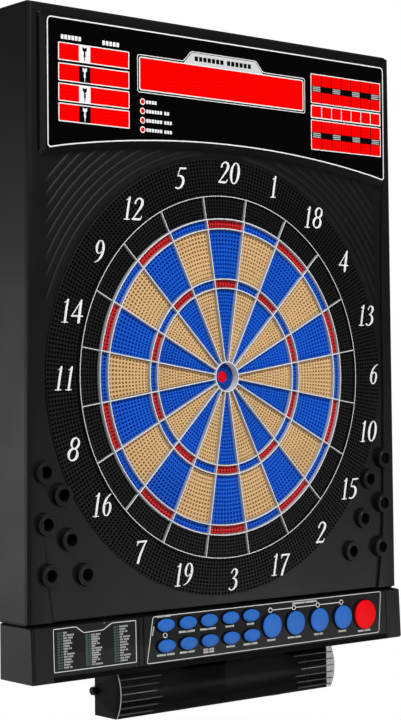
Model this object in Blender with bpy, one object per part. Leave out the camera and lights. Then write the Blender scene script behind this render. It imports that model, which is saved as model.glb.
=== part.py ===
"""Electronic dartboard for soft-tip darts, built as separate pieces that come apart on a bench.

Units are metres and +Z is up.  The wall is behind the board, on the plane y = 0, and the
target's axis runs along Y through the origin, so the front of the board faces -Y.
Outlines are lists of (x, z) points; depth is given as y.
"""
import math

import bmesh
import bpy

# ---------------------------------------------------------------- driving dimensions
GAP = 0.0003                    # clearance between pieces that touch

# cabinet
TOP = 0.4356
SEAM = -0.2866                  # joint between the front housing and the control bar
BOTTOM = -0.3524
HALF_WIDTH_TOP = 0.2962
HALF_WIDTH_SEAM = 0.3010
FRONT = -0.0562                 # front face of the housing
WALL = 0.003
EDGE = 0.0035                   # bevel round the front face
CORNER = 0.004

# target
SECTORS = 20
NUMBERS = (20, 1, 18, 4, 13, 6, 10, 15, 2, 17, 3, 19, 7, 16, 8, 11, 14, 9, 12, 5)
STEPS = 60                      # sides of the large circles, three to a sector
WEB_WALL = 0.0025               # thickness of the spider's walls
BULL_WALL = (0.0174, 0.0197)    # inner and outer radius of the wall round the bull
TRIPLE = (0.1110, 0.1225)       # the other radii run along the middle of a wall
DOUBLE = (0.1854, 0.1977)
RIM = 0.2265
RIM_WALL = 0.0017
OUTFIELD = (DOUBLE[1] + 0.5 * WEB_WALL, RIM - 0.5 * RIM_WALL)
PAD_STEP = 0.0004               # shoulder round each pad of the outfield ring
SPIDER_FRONT = -0.0615
SPIDER_BACK = -0.0500
KEY_FRONT = -0.0576             # face of the scoring keys
KEY_BASE = -0.0495
KEY_BACK = -0.0470
KEY_CLEARANCE = 0.00035         # between a key and the spider round it
BULL_RADIUS = 0.0072
OUTER_BULL_FRONT = -0.0526
INNER_BULL_FRONT = -0.0512

# number ring and the parts behind the target
RING_INNER = 0.22765
RING_OUTER = 0.2728
RING_FLANGE = 0.2770
RING_FRONT = -0.0576
RING_SEAT = FRONT + WALL + GAP
MAT_FRONT = -0.0452
MAT_THICKNESS = 0.003
FILM_THICKNESS = 0.0005
MAT_RADIUS = 0.2265
TUB_FLOOR = -0.0411
TUB_BACK = -0.0370
TUB_RADIUS = 0.2760

# display pod
POD_FRONT = -0.0661
POD_HALF_WIDTH = 0.2766
POD_TOP = 0.4186
POD_CROWN = 0.2889              # top of the arch along the pod's lower edge
POD_ARCH_RADIUS = 1.531
POD_SLANT = 0.0068              # how far the pod's walls lean out towards the housing
POD_WALL = 0.0025
LENS_THICKNESS = 0.0015
LENS_MARGIN = 0.0008
WINDOWS = {                     # x from, x to, z from, z to
    "score_display": (-0.2610, -0.1555, 0.2955, 0.3905),
    "message_display": (-0.1405, 0.1285, 0.3445, 0.3855),
    "cricket_display": (0.1410, 0.2715, 0.2955, 0.3965),
}
DISPLAY_BACK = -0.0497
DISPLAY_BOARD = (-0.2650, 0.2750, 0.2920, 0.4020)    # x from, x to, z from, z to
BOARD_THICKNESS = 0.0016

# dart holders: x, z and how far the boss stands forward, mirrored to both sides
HOLDERS = (
    (0.2776, -0.1102, -0.0643),
    (0.2513, -0.1376, -0.0620),
    (0.2756, -0.1704, -0.0643),
    (0.2406, -0.1898, -0.0620),
    (0.2711, -0.2295, -0.0643),
    (0.2182, -0.2320, -0.0620),
)
HOLDER_RADIUS = 0.0130
HOLDER_BORE = 0.0078

# posts inside the front housing for the rear cover's screws: x and z, mirrored to both sides
POSTS = ((0.2825, 0.4215), (0.2825, 0.1500), (0.2850, -0.0600))
POST_RADIUS = 0.0045

# control bar
BAR_TOP_FRONT = -0.0654
BAR_BOTTOM_FRONT = -0.0686
BAR_WALL = 0.0025
OVAL_X = (-0.1070, -0.0725, -0.0388, -0.0037, 0.0301)
OVAL_Z = (-0.3000, -0.3249)
OVAL_SIZE = (0.0140, 0.0080)    # half width and half height
ROUND_X = (0.0647, 0.1053, 0.1474, 0.1900)
ROUND_Z = -0.3160
ROUND_RADIUS = 0.0156
START_X = 0.2307
START_RADIUS = 0.0195
BUTTON_REACH = 0.0050           # how far a button stands out of the bar
BUTTON_BACK = -0.0600
BUTTON_FLANGE = 0.0016
BUTTON_CLEARANCE = 0.0004
KEYPAD_MAT = (-0.0577, -0.0563)
KEYPAD_BOARD = (-0.0560, -0.0544)
KEYPAD_AREA = (-0.1260, 0.2540, -0.3400, -0.2930)    # x from, x to, z from, z to
BAR_LEDGE = 0.0012              # how far the bar's front edge starts below its top
BAR_CHIN = 0.0025               # bevel along the bar's lower front edge

POWER_JACK = (0.2400, -0.0220)  # x and y of the socket's axis, which runs up from the bar's underside
JACK_HALF = 0.0060
JACK_BORE = 0.0036
JACK_DEPTH = 0.0110

# dart store under the bar
STORE_HALF_WIDTH = 0.1732
STORE_FRONT = -0.0546
STORE_BACK = -0.0126
STORE_BOTTOM = -0.4075
STORE_WALL = 0.002
PIVOT_Y = -0.0149
PIVOT_Z = -0.3778
PIVOT_RADIUS = 0.0030
COVER_RADII = (0.0503, 0.0524)
COVER_ANGLES = (28.0, -33.0)    # degrees above and below the pivot's level
COVER_PLATE = 0.0018
EYE_RADIUS = 0.0065
TAB_X = 0.0770                  # finger tabs along the cover's lower edge
TAB_HALF_WIDTH = 0.0080

# main board inside the cabinet
MAIN_BOARD_FRONT = -0.0330
MAIN_BOARD = (-0.0900, 0.0900, -0.2400, -0.1200)     # x from, x to, z from, z to
CHIPS = ((-0.030, -0.170, 0.014), (0.025, -0.160, 0.009), (0.055, -0.205, 0.007))  # x, z, half size

# rear cover
KEYHOLE_X = 0.1900
KEYHOLE_Z = 0.3300
SPEAKER = (-0.2150, -0.3180)    # x and z of the speaker's axis
SPEAKER_RADIUS = 0.0250

COLOURS = {                     # base colour, roughness, metallic, alpha
    "black": ((0.020, 0.020, 0.022), 0.45, 0.0, 1.0),
    "deep_black": ((0.010, 0.010, 0.011), 0.60, 0.0, 1.0),
    "gloss_black": ((0.006, 0.006, 0.007), 0.12, 0.0, 1.0),
    "silver": ((0.62, 0.62, 0.60), 0.40, 0.0, 1.0),
    "blue": ((0.012, 0.085, 0.600), 0.45, 0.0, 1.0),
    "tan": ((0.660, 0.420, 0.180), 0.50, 0.0, 1.0),
    "red": ((0.620, 0.012, 0.016), 0.45, 0.0, 1.0),
    "button_blue": ((0.030, 0.160, 0.560), 0.40, 0.0, 1.0),
    "display_red": ((0.800, 0.002, 0.002), 0.30, 0.0, 1.0),
    "rubber": ((0.030, 0.030, 0.030), 0.90, 0.0, 1.0),
    "film": ((0.600, 0.450, 0.200), 0.40, 0.0, 1.0),
    "board": ((0.020, 0.160, 0.060), 0.45, 0.0, 1.0),
    "steel": ((0.550, 0.550, 0.560), 0.35, 1.0, 1.0),
    "smoke": ((0.030, 0.030, 0.032), 0.12, 0.0, 0.55),
}


# ---------------------------------------------------------------- tools
def material(name, key):
    """A Principled material of the piece's own, in one of the named colours."""
    colour, roughness, metallic, alpha = COLOURS[key]
    result = bpy.data.materials.new(name)
    result.use_nodes = True
    shader = result.node_tree.nodes["Principled BSDF"]
    shader.inputs["Base Color"].default_value = (*colour, 1.0)
    shader.inputs["Roughness"].default_value = roughness
    shader.inputs["Metallic"].default_value = metallic
    shader.inputs["Alpha"].default_value = alpha
    result.diffuse_color = (*colour, alpha)
    return result


def make_object(name, bm, colour=None):
    """Turn a bmesh into an object; pieces of the model get a colour, cutting tools get none."""
    bmesh.ops.recalc_face_normals(bm, faces=bm.faces)
    mesh = bpy.data.meshes.new(name)
    bm.to_mesh(mesh)
    bm.free()
    obj = bpy.data.objects.new(name, mesh)
    bpy.context.scene.collection.objects.link(obj)
    if colour:
        mesh.materials.append(material(name, colour))
    return obj


def smooth(obj, degrees=35.0):
    """Shade a round piece smooth, except across its edges."""
    obj.data.shade_smooth()
    obj.data.set_sharp_from_angle(angle=math.radians(degrees))


def boolean(obj, operation, bm):
    """Join a tool to the object, or cut it away, and keep the result as the object's mesh."""
    tool = make_object("tool", bm)
    tool.hide_render = True
    tool.display_type = "WIRE"
    modifier = obj.modifiers.new(operation.lower(), "BOOLEAN")
    modifier.operation = operation
    modifier.object = tool
    depsgraph = bpy.context.evaluated_depsgraph_get()
    mesh = bpy.data.meshes.new_from_object(obj.evaluated_get(depsgraph))
    mesh.name = obj.name
    obj.modifiers.clear()
    obj.data = mesh
    bpy.data.objects.remove(tool, do_unlink=True)


def add_loft(bm, loops, closed=False):
    """Skin a row of point loops; closed joins the last to the first, otherwise the ends are capped."""
    rows = [[bm.verts.new(point) for point in loop] for loop in loops]
    pairs = list(zip(rows, rows[1:]))
    if closed:
        pairs.append((rows[-1], rows[0]))
    else:
        bm.faces.new(rows[0])
        bm.faces.new(reversed(rows[-1]))
    for near, far in pairs:
        for i in range(len(near)):
            j = (i + 1) % len(near)
            bm.faces.new((near[i], far[i], far[j], near[j]))


def at_depth(outline, y):
    """The outline's points at depth y."""
    return [(x, y, z) for x, z in outline]


def add_prism(bm, outline, y_front, y_back):
    add_loft(bm, [at_depth(outline, y_front), at_depth(outline, y_back)])


def circle(radius, steps=STEPS, x=0.0, z=0.0):
    """A circle whose corners fall on the sector edges when it has 60 sides."""
    angles = [2.0 * math.pi * (i + 0.5) / steps for i in range(steps)]
    return [(x + radius * math.sin(a), z + radius * math.cos(a)) for a in angles]


def ellipse(half_width, half_height, steps, x, z):
    angles = [2.0 * math.pi * (i + 0.5) / steps for i in range(steps)]
    return [(x + half_width * math.sin(a), z + half_height * math.cos(a)) for a in angles]


def rectangle(x0, x1, z0, z1):
    return [(x0, z0), (x1, z0), (x1, z1), (x0, z1)]


def add_box(bm, x0, x1, y0, y1, z0, z1):
    add_prism(bm, rectangle(x0, x1, z0, z1), y0, y1)


def add_turned(bm, profile, steps=STEPS):
    """Turn a closed profile of (radius, y) points about the target's axis."""
    add_loft(bm, [at_depth(circle(r, steps), y) for r, y in profile], closed=True)


def half_width(z):
    """Half the cabinet's width at a height; the sides lean out a little towards the bottom."""
    t = min(max((TOP - z) / (TOP - SEAM), 0.0), 1.0)
    return HALF_WIDTH_TOP + (HALF_WIDTH_SEAM - HALF_WIDTH_TOP) * t


def rounded(corners, radius, steps=2):
    """Round the corners of a convex outline with short arcs."""
    outline = []
    count = len(corners)
    for i, (x, z) in enumerate(corners):
        before = (corners[i - 1][0] - x, corners[i - 1][1] - z)
        after = (corners[(i + 1) % count][0] - x, corners[(i + 1) % count][1] - z)
        start = [radius * c / math.hypot(*before) for c in before]
        end = [radius * c / math.hypot(*after) for c in after]
        for step in range(steps + 1):
            t = step / steps
            pull = (1.0 - t) ** 2, t ** 2
            outline.append((x + pull[0] * start[0] + pull[1] * end[0],
                            z + pull[0] * start[1] + pull[1] * end[1]))
    return outline


# ---------------------------------------------------------------- housing
def cabinet_outline(inset, radius):
    """The housing's outline, moved in from its outer faces."""
    low, high = SEAM + inset, TOP - inset
    corners = [(-half_width(low) + inset, low), (half_width(low) - inset, low),
               (half_width(high) - inset, high), (-half_width(high) + inset, high)]
    return rounded(corners, radius)


def pod_outline(offset):
    """The display pod's outline with its arched lower edge, moved out by the offset."""
    side = POD_HALF_WIDTH + offset
    crown = POD_CROWN - offset
    arch = []
    arch_steps = 12
    for i in range(arch_steps + 1):
        x = side * (2.0 * i / arch_steps - 1.0)
        arch.append((x, crown - x * x / (2.0 * POD_ARCH_RADIUS)))
    top = POD_TOP + offset
    corner = 0.003
    return arch + [(side, top - corner), (side - corner, top),
                   (-side + corner, top), (-side, top - corner)]


def holder_positions():
    return [(side * x, z, front) for side in (-1, 1) for x, z, front in HOLDERS]


def front_housing():
    """Moulded front shell: cabinet walls, display pod, dart holder bosses and rear cover posts."""
    bm = bmesh.new()
    add_loft(bm, [at_depth(cabinet_outline(EDGE, CORNER), FRONT),
                  at_depth(cabinet_outline(0.0, CORNER), FRONT + EDGE),
                  at_depth(cabinet_outline(0.0, CORNER), 0.0)])
    shell = make_object("front_housing", bm, "black")

    tool = bmesh.new()
    add_loft(tool, [at_depth(pod_outline(0.0), POD_FRONT),
                    at_depth(pod_outline(POD_SLANT), FRONT + 0.5 * WALL)])
    boolean(shell, "UNION", tool)

    tool = bmesh.new()
    for x, z, front in holder_positions():
        add_prism(tool, circle(HOLDER_RADIUS, 14, x, z), front, FRONT + 0.5 * WALL)
    boolean(shell, "UNION", tool)

    inside = cabinet_outline(WALL, CORNER - 0.001)
    tool = bmesh.new()
    add_prism(tool, inside, FRONT + WALL, 0.01)
    boolean(shell, "DIFFERENCE", tool)

    tool = bmesh.new()
    add_loft(tool, [at_depth(pod_outline(-POD_WALL), POD_FRONT + POD_WALL),
                    at_depth(pod_outline(POD_SLANT - POD_WALL), FRONT + WALL + 0.001)])
    boolean(shell, "DIFFERENCE", tool)

    tool = bmesh.new()
    add_prism(tool, circle(RING_OUTER + GAP + 0.0001), FRONT - 0.005, FRONT + WALL + 0.005)
    for x, z, _ in holder_positions():
        add_prism(tool, circle(HOLDER_BORE, 12, x, z), -0.08, FRONT + WALL + 0.005)
    for x0, x1, z0, z1 in WINDOWS.values():
        add_box(tool, x0 - GAP, x1 + GAP, POD_FRONT - 0.005, POD_FRONT + POD_WALL + 0.002,
                z0 - GAP, z1 + GAP)
    boolean(shell, "DIFFERENCE", tool)

    tool = bmesh.new()
    side = half_width(SEAM) - WALL
    add_box(tool, -side, side, -WALL - GAP, 0.01, SEAM - 0.01, SEAM + WALL + 0.002)
    boolean(shell, "DIFFERENCE", tool)

    posts = bmesh.new()
    for side in (-1, 1):
        for x, z in POSTS:
            add_prism(posts, circle(POST_RADIUS, 10, side * x, z), FRONT + 0.5 * WALL, -WALL - GAP)
    boolean(shell, "UNION", posts)
    smooth(shell)


def rear_cover():
    """Flat back panel with two keyholes for the wall screws and slots over the speaker."""
    inset = WALL + GAP
    low = BOTTOM + BAR_WALL + GAP
    high = TOP - inset
    corners = [(-half_width(low) + inset, low), (half_width(low) - inset, low),
               (half_width(high) - inset, high), (-half_width(high) + inset, high)]
    bm = bmesh.new()
    add_prism(bm, rounded(corners, 0.002), -WALL, 0.0)
    cover = make_object("rear_cover", bm, "black")

    tool = bmesh.new()
    slot_pitch = 0.007
    for i in range(-2, 3):
        z = SPEAKER[1] + i * slot_pitch
        reach = math.sqrt(SPEAKER_RADIUS ** 2 - (i * slot_pitch) ** 2) - 0.004
        add_box(tool, SPEAKER[0] - reach, SPEAKER[0] + reach, -0.01, 0.01, z - 0.0015, z + 0.0015)
    for side in (-1, 1):
        add_prism(tool, keyhole_outline(side * KEYHOLE_X, KEYHOLE_Z), -0.01, 0.01)
    boolean(cover, "DIFFERENCE", tool)


def keyhole_outline(x, z):
    """A round hole for a screw's head with a narrow slot above it for its shank."""
    head, shank, reach = 0.0052, 0.0024, 0.0130
    bend = math.asin(shank / head)
    steps = 12
    outline = []
    for i in range(steps + 1):
        angle = bend + (2.0 * math.pi - 2.0 * bend) * i / steps
        outline.append((x + head * math.sin(angle), z + head * math.cos(angle)))
    for i in range(5):
        angle = -0.5 * math.pi + math.pi * i / 4.0
        outline.append((x + shank * math.sin(angle), z + reach + shank * math.cos(angle)))
    return outline


# ---------------------------------------------------------------- target
def arc_steps(radius):
    """Straight stretches along one sector's arc; small circles need fewer."""
    if radius < 0.03:
        return 1
    return 2 if radius < 0.15 else 3


def cell_outline(r_in, r_out, inset):
    """One sector's cell about the +Z direction, its straight sides inset from the sector's edges."""
    points = []
    for radius, sign in ((r_in, 1.0), (r_out, -1.0)):
        half = math.pi / SECTORS - math.asin(inset / radius)
        steps = arc_steps(radius)
        for step in range(steps + 1):
            angle = sign * half * (2.0 * step / steps - 1.0)
            points.append((radius * math.sin(angle), radius * math.cos(angle)))
    return points


def turned_by(outline, angle):
    """The outline turned clockwise about the target's axis, as seen from the front."""
    c, s = math.cos(angle), math.sin(angle)
    return [(x * c + z * s, z * c - x * s) for x, z in outline]


def cell_radii():
    """Inner and outer radius of the four scoring cells, between the spider's walls."""
    half = 0.5 * WEB_WALL
    return [(BULL_WALL[1], TRIPLE[0] - half), (TRIPLE[0] + half, TRIPLE[1] - half),
            (TRIPLE[1] + half, DOUBLE[0] - half), (DOUBLE[0] + half, DOUBLE[1] - half)]


def spider():
    """Moulded web that divides the target, with a thin rim outside the double ring."""
    half = 0.5 * WEB_WALL
    bm = bmesh.new()
    add_prism(bm, circle(RIM + 0.5 * RIM_WALL), SPIDER_FRONT, SPIDER_BACK)
    web = make_object("spider", bm, "silver")

    tool = bmesh.new()
    add_prism(tool, circle(BULL_WALL[0], 20), SPIDER_FRONT - 0.005, SPIDER_BACK + 0.005)
    for sector in range(SECTORS):
        angle = 2.0 * math.pi * sector / SECTORS
        for r_in, r_out in cell_radii() + [OUTFIELD]:
            outline = turned_by(cell_outline(r_in, r_out, half), angle)
            add_prism(tool, outline, SPIDER_FRONT - 0.005, SPIDER_BACK + 0.005)
    boolean(web, "DIFFERENCE", tool)


def outfield_ring():
    """Black ring between the double ring and the spider's rim, with a raised pad in each sector."""
    inner, outer = OUTFIELD[0] + KEY_CLEARANCE, OUTFIELD[1] - KEY_CLEARANCE
    bm = bmesh.new()
    add_turned(bm, [(inner, KEY_BASE), (outer, KEY_BASE), (outer, KEY_BACK), (inner, KEY_BACK)])
    ring = make_object("outfield_ring", bm, "deep_black")
    pad = cell_outline(inner + PAD_STEP, outer - PAD_STEP, 0.5 * WEB_WALL + KEY_CLEARANCE)
    tool = bmesh.new()
    for sector in range(SECTORS):
        angle = 2.0 * math.pi * sector / SECTORS
        add_prism(tool, turned_by(pad, angle), KEY_FRONT, KEY_BASE + 0.001)
    boolean(ring, "UNION", tool)


def sector_keys():
    """Twenty wedges; each carries its two singles, triple and double on one base behind the spider."""
    inset = 0.5 * WEB_WALL + KEY_CLEARANCE
    bm = bmesh.new()
    base = cell_outline(BULL_WALL[1] + KEY_CLEARANCE, DOUBLE[1] - KEY_CLEARANCE, KEY_CLEARANCE)
    add_prism(bm, base, KEY_BASE, KEY_BACK)
    master = make_object("sector_master", bm)
    tool = bmesh.new()
    for r_in, r_out in cell_radii():
        outline = cell_outline(r_in + KEY_CLEARANCE, r_out - KEY_CLEARANCE, inset)
        add_prism(tool, outline, KEY_FRONT, KEY_BASE + 0.001)
    boolean(master, "UNION", tool)

    for index, number in enumerate(NUMBERS):
        name = f"sector_{number:02d}"
        mesh = master.data.copy()
        mesh.name = name
        mesh.materials.append(material(name, "blue" if index % 2 == 0 else "tan"))
        key = bpy.data.objects.new(name, mesh)
        key.rotation_euler = (0.0, 2.0 * math.pi * index / SECTORS, 0.0)
        bpy.context.scene.collection.objects.link(key)
    bpy.data.objects.remove(master, do_unlink=True)


def bulls():
    """The two bull keys, with flanges that keep them behind the spider."""
    outer = BULL_WALL[0] - KEY_CLEARANCE
    bore = BULL_RADIUS + KEY_CLEARANCE
    flange, counterbore = 0.0191, 0.0104
    shelf = -0.0500
    bm = bmesh.new()
    add_turned(bm, [(bore, OUTER_BULL_FRONT), (outer, OUTER_BULL_FRONT), (outer, KEY_BASE),
                    (flange, KEY_BASE), (flange, KEY_BACK), (counterbore, KEY_BACK),
                    (counterbore, shelf), (bore, shelf)], 20)
    smooth(make_object("outer_bull", bm, "blue"))

    foot = counterbore - 0.0004
    foot_front = -0.0482
    bm = bmesh.new()
    profile = ((BULL_RADIUS, INNER_BULL_FRONT), (BULL_RADIUS, foot_front),
               (foot, foot_front), (foot, KEY_BACK))
    add_loft(bm, [at_depth(circle(r, 16), y) for r, y in profile])
    smooth(make_object("inner_bull", bm, "red"))


def number_ring():
    """Black ring that carries the numbers and catches stray darts."""
    back = RING_SEAT + WALL
    bm = bmesh.new()
    add_turned(bm, [(RING_INNER, RING_FRONT), (RING_OUTER, RING_FRONT), (RING_OUTER, RING_SEAT),
                    (RING_FLANGE, RING_SEAT), (RING_FLANGE, back), (RING_INNER, back)])
    smooth(make_object("number_ring", bm, "deep_black"))


def switch_stack():
    """Rubber mat, contact film and the tub that carries them behind the keys."""
    bm = bmesh.new()
    mat_back = MAT_FRONT + MAT_THICKNESS
    add_prism(bm, circle(MAT_RADIUS, 40), MAT_FRONT, mat_back)
    make_object("rubber_mat", bm, "rubber")

    film_front = mat_back + GAP
    bm = bmesh.new()
    add_prism(bm, circle(MAT_RADIUS, 40), film_front, film_front + FILM_THICKNESS)
    make_object("matrix_film", bm, "film")

    rim = TUB_RADIUS - WALL
    rim_front = RING_SEAT + WALL + GAP
    bm = bmesh.new()
    loops = [(TUB_RADIUS, TUB_BACK), (TUB_RADIUS, rim_front), (rim, rim_front), (rim, TUB_FLOOR)]
    add_loft(bm, [at_depth(circle(r, 40), y) for r, y in loops])
    make_object("backing_plate", bm, "black")


# ---------------------------------------------------------------- display
def display():
    """Printed lens, three display modules behind it and the board that carries them."""
    bm = bmesh.new()
    outline = pod_outline(-LENS_MARGIN)
    add_prism(bm, outline, POD_FRONT - GAP - LENS_THICKNESS, POD_FRONT - GAP)
    make_object("display_lens", bm, "gloss_black")

    for name, (x0, x1, z0, z1) in WINDOWS.items():
        bm = bmesh.new()
        add_box(bm, x0, x1, POD_FRONT, DISPLAY_BACK, z0, z1)
        make_object(name, bm, "display_red")

    front = DISPLAY_BACK + GAP
    x0, x1, z0, z1 = DISPLAY_BOARD
    bm = bmesh.new()
    add_box(bm, x0, x1, front, front + BOARD_THICKNESS, z0, z1)
    make_object("display_board", bm, "board")


# ---------------------------------------------------------------- control bar
def bar_profile(inset):
    """The bar's cross-section as (y, z), moved in from its outer faces and open at the back when inset."""
    back = 0.0 if inset == 0.0 else 0.01
    top = SEAM - GAP
    return [(back, top - inset), (FRONT + 0.7 * inset, top - inset),
            (BAR_TOP_FRONT + inset, top - BAR_LEDGE - 0.7 * inset),
            (BAR_BOTTOM_FRONT + inset, BOTTOM + BAR_CHIN + 0.4 * inset),
            (BAR_BOTTOM_FRONT + BAR_CHIN + 0.4 * inset, BOTTOM + inset), (back, BOTTOM + inset)]


def shrunk(profile, by):
    """A cross-section pulled in towards its middle, for the soft edge at the bar's ends."""
    ys = [y for y, _ in profile]
    zs = [z for _, z in profile]
    y_mid, z_mid = 0.5 * (min(ys) + max(ys)), 0.5 * (min(zs) + max(zs))
    y_scale = 1.0 - 2.0 * by / (max(ys) - min(ys))
    z_scale = 1.0 - 2.0 * by / (max(zs) - min(zs))
    return [(y_mid + (y - y_mid) * y_scale, z_mid + (z - z_mid) * z_scale) for y, z in profile]


def across(profile, x):
    """A (y, z) cross-section placed at x."""
    return [(x, y, z) for y, z in profile]


def bar_front(z):
    """Depth of the bar's front face at a height."""
    t = (SEAM - z) / (SEAM - BOTTOM)
    return BAR_TOP_FRONT + (BAR_BOTTOM_FRONT - BAR_TOP_FRONT) * t


def button_list():
    """Name, x, z, half width, half height, sides and colour of each button."""
    buttons = []
    for row, z in enumerate(OVAL_Z):
        for column, x in enumerate(OVAL_X):
            number = row * len(OVAL_X) + column + 1
            buttons.append((f"option_button_{number:02d}", x, z, *OVAL_SIZE, 12, "button_blue"))
    for column, x in enumerate(ROUND_X):
        buttons.append((f"game_button_{column + 1}", x, ROUND_Z,
                        ROUND_RADIUS, ROUND_RADIUS, 14, "button_blue"))
    buttons.append(("start_button", START_X, ROUND_Z, START_RADIUS, START_RADIUS, 16, "red"))
    return buttons


def control_housing():
    """Hollow bar along the bottom of the cabinet with a hole for each button."""
    side = HALF_WIDTH_SEAM
    edge = 0.0015
    profile = bar_profile(0.0)
    soft = shrunk(profile, edge)
    bm = bmesh.new()
    add_loft(bm, [across(soft, -side), across(profile, -side + edge),
                  across(profile, side - edge), across(soft, side)])
    bar = make_object("control_housing", bm, "black")

    cavity = bar_profile(BAR_WALL)
    tool = bmesh.new()
    add_loft(tool, [across(cavity, -side + WALL), across(cavity, side - WALL)])
    boolean(bar, "DIFFERENCE", tool)

    tool = bmesh.new()
    add_box(tool, -side + WALL, side - WALL, -WALL - GAP, 0.02, SEAM - BAR_WALL - 0.002, SEAM + 0.002)
    for _, x, z, half_x, half_z, sides, _ in button_list():
        outline = ellipse(half_x + BUTTON_CLEARANCE, half_z + BUTTON_CLEARANCE, sides, x, z)
        add_prism(tool, outline, -0.09, -0.0615)
    jack_x, jack_y = POWER_JACK
    reach = JACK_HALF + GAP
    add_box(tool, jack_x - reach, jack_x + reach, jack_y - reach, jack_y + reach,
            BOTTOM - 0.005, BOTTOM + 0.005)
    boolean(bar, "DIFFERENCE", tool)


def power_jack():
    """Low-voltage power inlet in the bar's underside."""
    x, y = POWER_JACK
    bm = bmesh.new()
    add_box(bm, x - JACK_HALF, x + JACK_HALF, y - JACK_HALF, y + JACK_HALF, BOTTOM, BOTTOM + 0.014)
    jack = make_object("power_jack", bm, "deep_black")
    tool = bmesh.new()
    bore = circle(JACK_BORE, 16, x, y)
    add_loft(tool, [[(u, v, z) for u, v in bore] for z in (BOTTOM - 0.005, BOTTOM + JACK_DEPTH)])
    boolean(jack, "DIFFERENCE", tool)


def buttons():
    """Push buttons with a flange behind the bar's front wall and a crowned face."""
    for name, x, z, half_x, half_z, sides, colour in button_list():
        face = bar_front(z) - BUTTON_REACH
        flange_front = BUTTON_BACK - BUTTON_FLANGE
        stages = ((0.74, face), (1.0, face + 0.0018), (1.0, flange_front))
        loops = [at_depth(ellipse(half_x * s, half_z * s, sides, x, z), y) for s, y in stages]
        wide = ellipse(half_x + BUTTON_FLANGE, half_z + BUTTON_FLANGE, sides, x, z)
        loops += [at_depth(wide, flange_front), at_depth(wide, BUTTON_BACK)]
        bm = bmesh.new()
        add_loft(bm, [[(px - x, py, pz - z) for px, py, pz in loop] for loop in loops])
        button = make_object(name, bm, colour)
        button.location = (x, 0.0, z)
        smooth(button)


def control_electronics():
    """Silicone mat and switch board behind the buttons."""
    layers = (("keypad_mat", KEYPAD_MAT, "rubber"), ("keypad_board", KEYPAD_BOARD, "board"))
    for name, (front, back), colour in layers:
        x0, x1, z0, z1 = KEYPAD_AREA
        bm = bmesh.new()
        add_box(bm, x0, x1, front, back, z0, z1)
        make_object(name, bm, colour)


# ---------------------------------------------------------------- inside the cabinet
def main_board():
    """Main circuit board with its processor, memory and sound amplifier."""
    back = MAIN_BOARD_FRONT + BOARD_THICKNESS
    x0, x1, z0, z1 = MAIN_BOARD
    bm = bmesh.new()
    add_box(bm, x0, x1, MAIN_BOARD_FRONT, back, z0, z1)
    board = make_object("main_board", bm, "board")
    tool = bmesh.new()
    for x, z, size in CHIPS:
        add_box(tool, x - size, x + size, back - 0.0005, back + 0.0025, z - size, z + size)
    boolean(board, "UNION", tool)


def speaker():
    """Small loudspeaker facing the slots in the rear cover."""
    x, z = SPEAKER
    front = -WALL - GAP
    stages = ((0.012, front - 0.020), (0.012, front - 0.012), (0.016, front - 0.011),
              (SPEAKER_RADIUS, front - 0.003), (SPEAKER_RADIUS, front))
    bm = bmesh.new()
    add_loft(bm, [at_depth(circle(r, 20, x, z), y) for r, y in stages])
    smooth(make_object("speaker", bm, "deep_black"))


# ---------------------------------------------------------------- dart store
def storage_bin():
    """Open-fronted box under the bar, divided in the middle, with a hole for each pivot."""
    top = BOTTOM - GAP
    side = STORE_HALF_WIDTH
    bm = bmesh.new()
    add_box(bm, -side, side, STORE_FRONT, STORE_BACK, STORE_BOTTOM, top)
    store = make_object("storage_bin", bm, "black")
    tool = bmesh.new()
    for x0, x1 in ((-side + STORE_WALL, -0.5 * STORE_WALL), (0.5 * STORE_WALL, side - STORE_WALL)):
        add_box(tool, x0, x1, STORE_FRONT - 0.005, STORE_BACK - STORE_WALL,
                STORE_BOTTOM + STORE_WALL, top - STORE_WALL)
    boolean(store, "DIFFERENCE", tool)
    tool = bmesh.new()
    hole = circle(PIVOT_RADIUS + GAP, 16, PIVOT_Y, PIVOT_Z)
    for end in (-side, side):
        add_loft(tool, [across(hole, end - 0.005), across(hole, end + 0.005)])
    boolean(store, "DIFFERENCE", tool)


def polar(radius, degrees):
    """A (y, z) point about the cover's pivot; zero degrees is straight forward."""
    angle = math.radians(degrees)
    return (-radius * math.cos(angle), radius * math.sin(angle))


def storage_cover():
    """Smoked cover: a curved front on two wedge-shaped ends that swing about the pivots."""
    inner, outer = COVER_RADII
    high, low = COVER_ANGLES
    steps = 12
    angles = [high + (low - high) * i / steps for i in range(steps + 1)]
    front = [polar(outer, a) for a in angles] + [polar(inner, a) for a in reversed(angles)]
    side = STORE_HALF_WIDTH + GAP
    bm = bmesh.new()
    add_loft(bm, [across(front, -side - COVER_PLATE), across(front, side + COVER_PLATE)])
    cover = make_object("storage_cover", bm, "smoke")

    eye_steps = 8
    turn = high - low - 180.0
    eye = [polar(EYE_RADIUS, low - 90.0 + turn * i / eye_steps) for i in range(eye_steps + 1)]
    wedge = [polar(inner + 0.0005, a) for a in angles] + eye
    tool = bmesh.new()
    for end in (-1, 1):
        add_loft(tool, [across(wedge, end * side), across(wedge, end * (side + COVER_PLATE))])
    boolean(cover, "UNION", tool)

    tool = bmesh.new()
    tab = [polar(r, a) for r, a in ((inner + 0.0005, low), (inner + 0.0005, low + 3.0),
                                    (outer + 0.0015, low + 2.5), (outer + 0.0015, low + 0.5))]
    for x in (-TAB_X, TAB_X):
        add_loft(tool, [across(tab, x - TAB_HALF_WIDTH), across(tab, x + TAB_HALF_WIDTH)])
    boolean(cover, "UNION", tool)

    tool = bmesh.new()
    hole = circle(PIVOT_RADIUS + GAP, 16)
    for end in (-side, side):
        add_loft(tool, [across(hole, end - 0.005), across(hole, end + 0.005)])
    boolean(cover, "DIFFERENCE", tool)
    cover.location = (0.0, PIVOT_Y, PIVOT_Z)
    smooth(cover)


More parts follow.
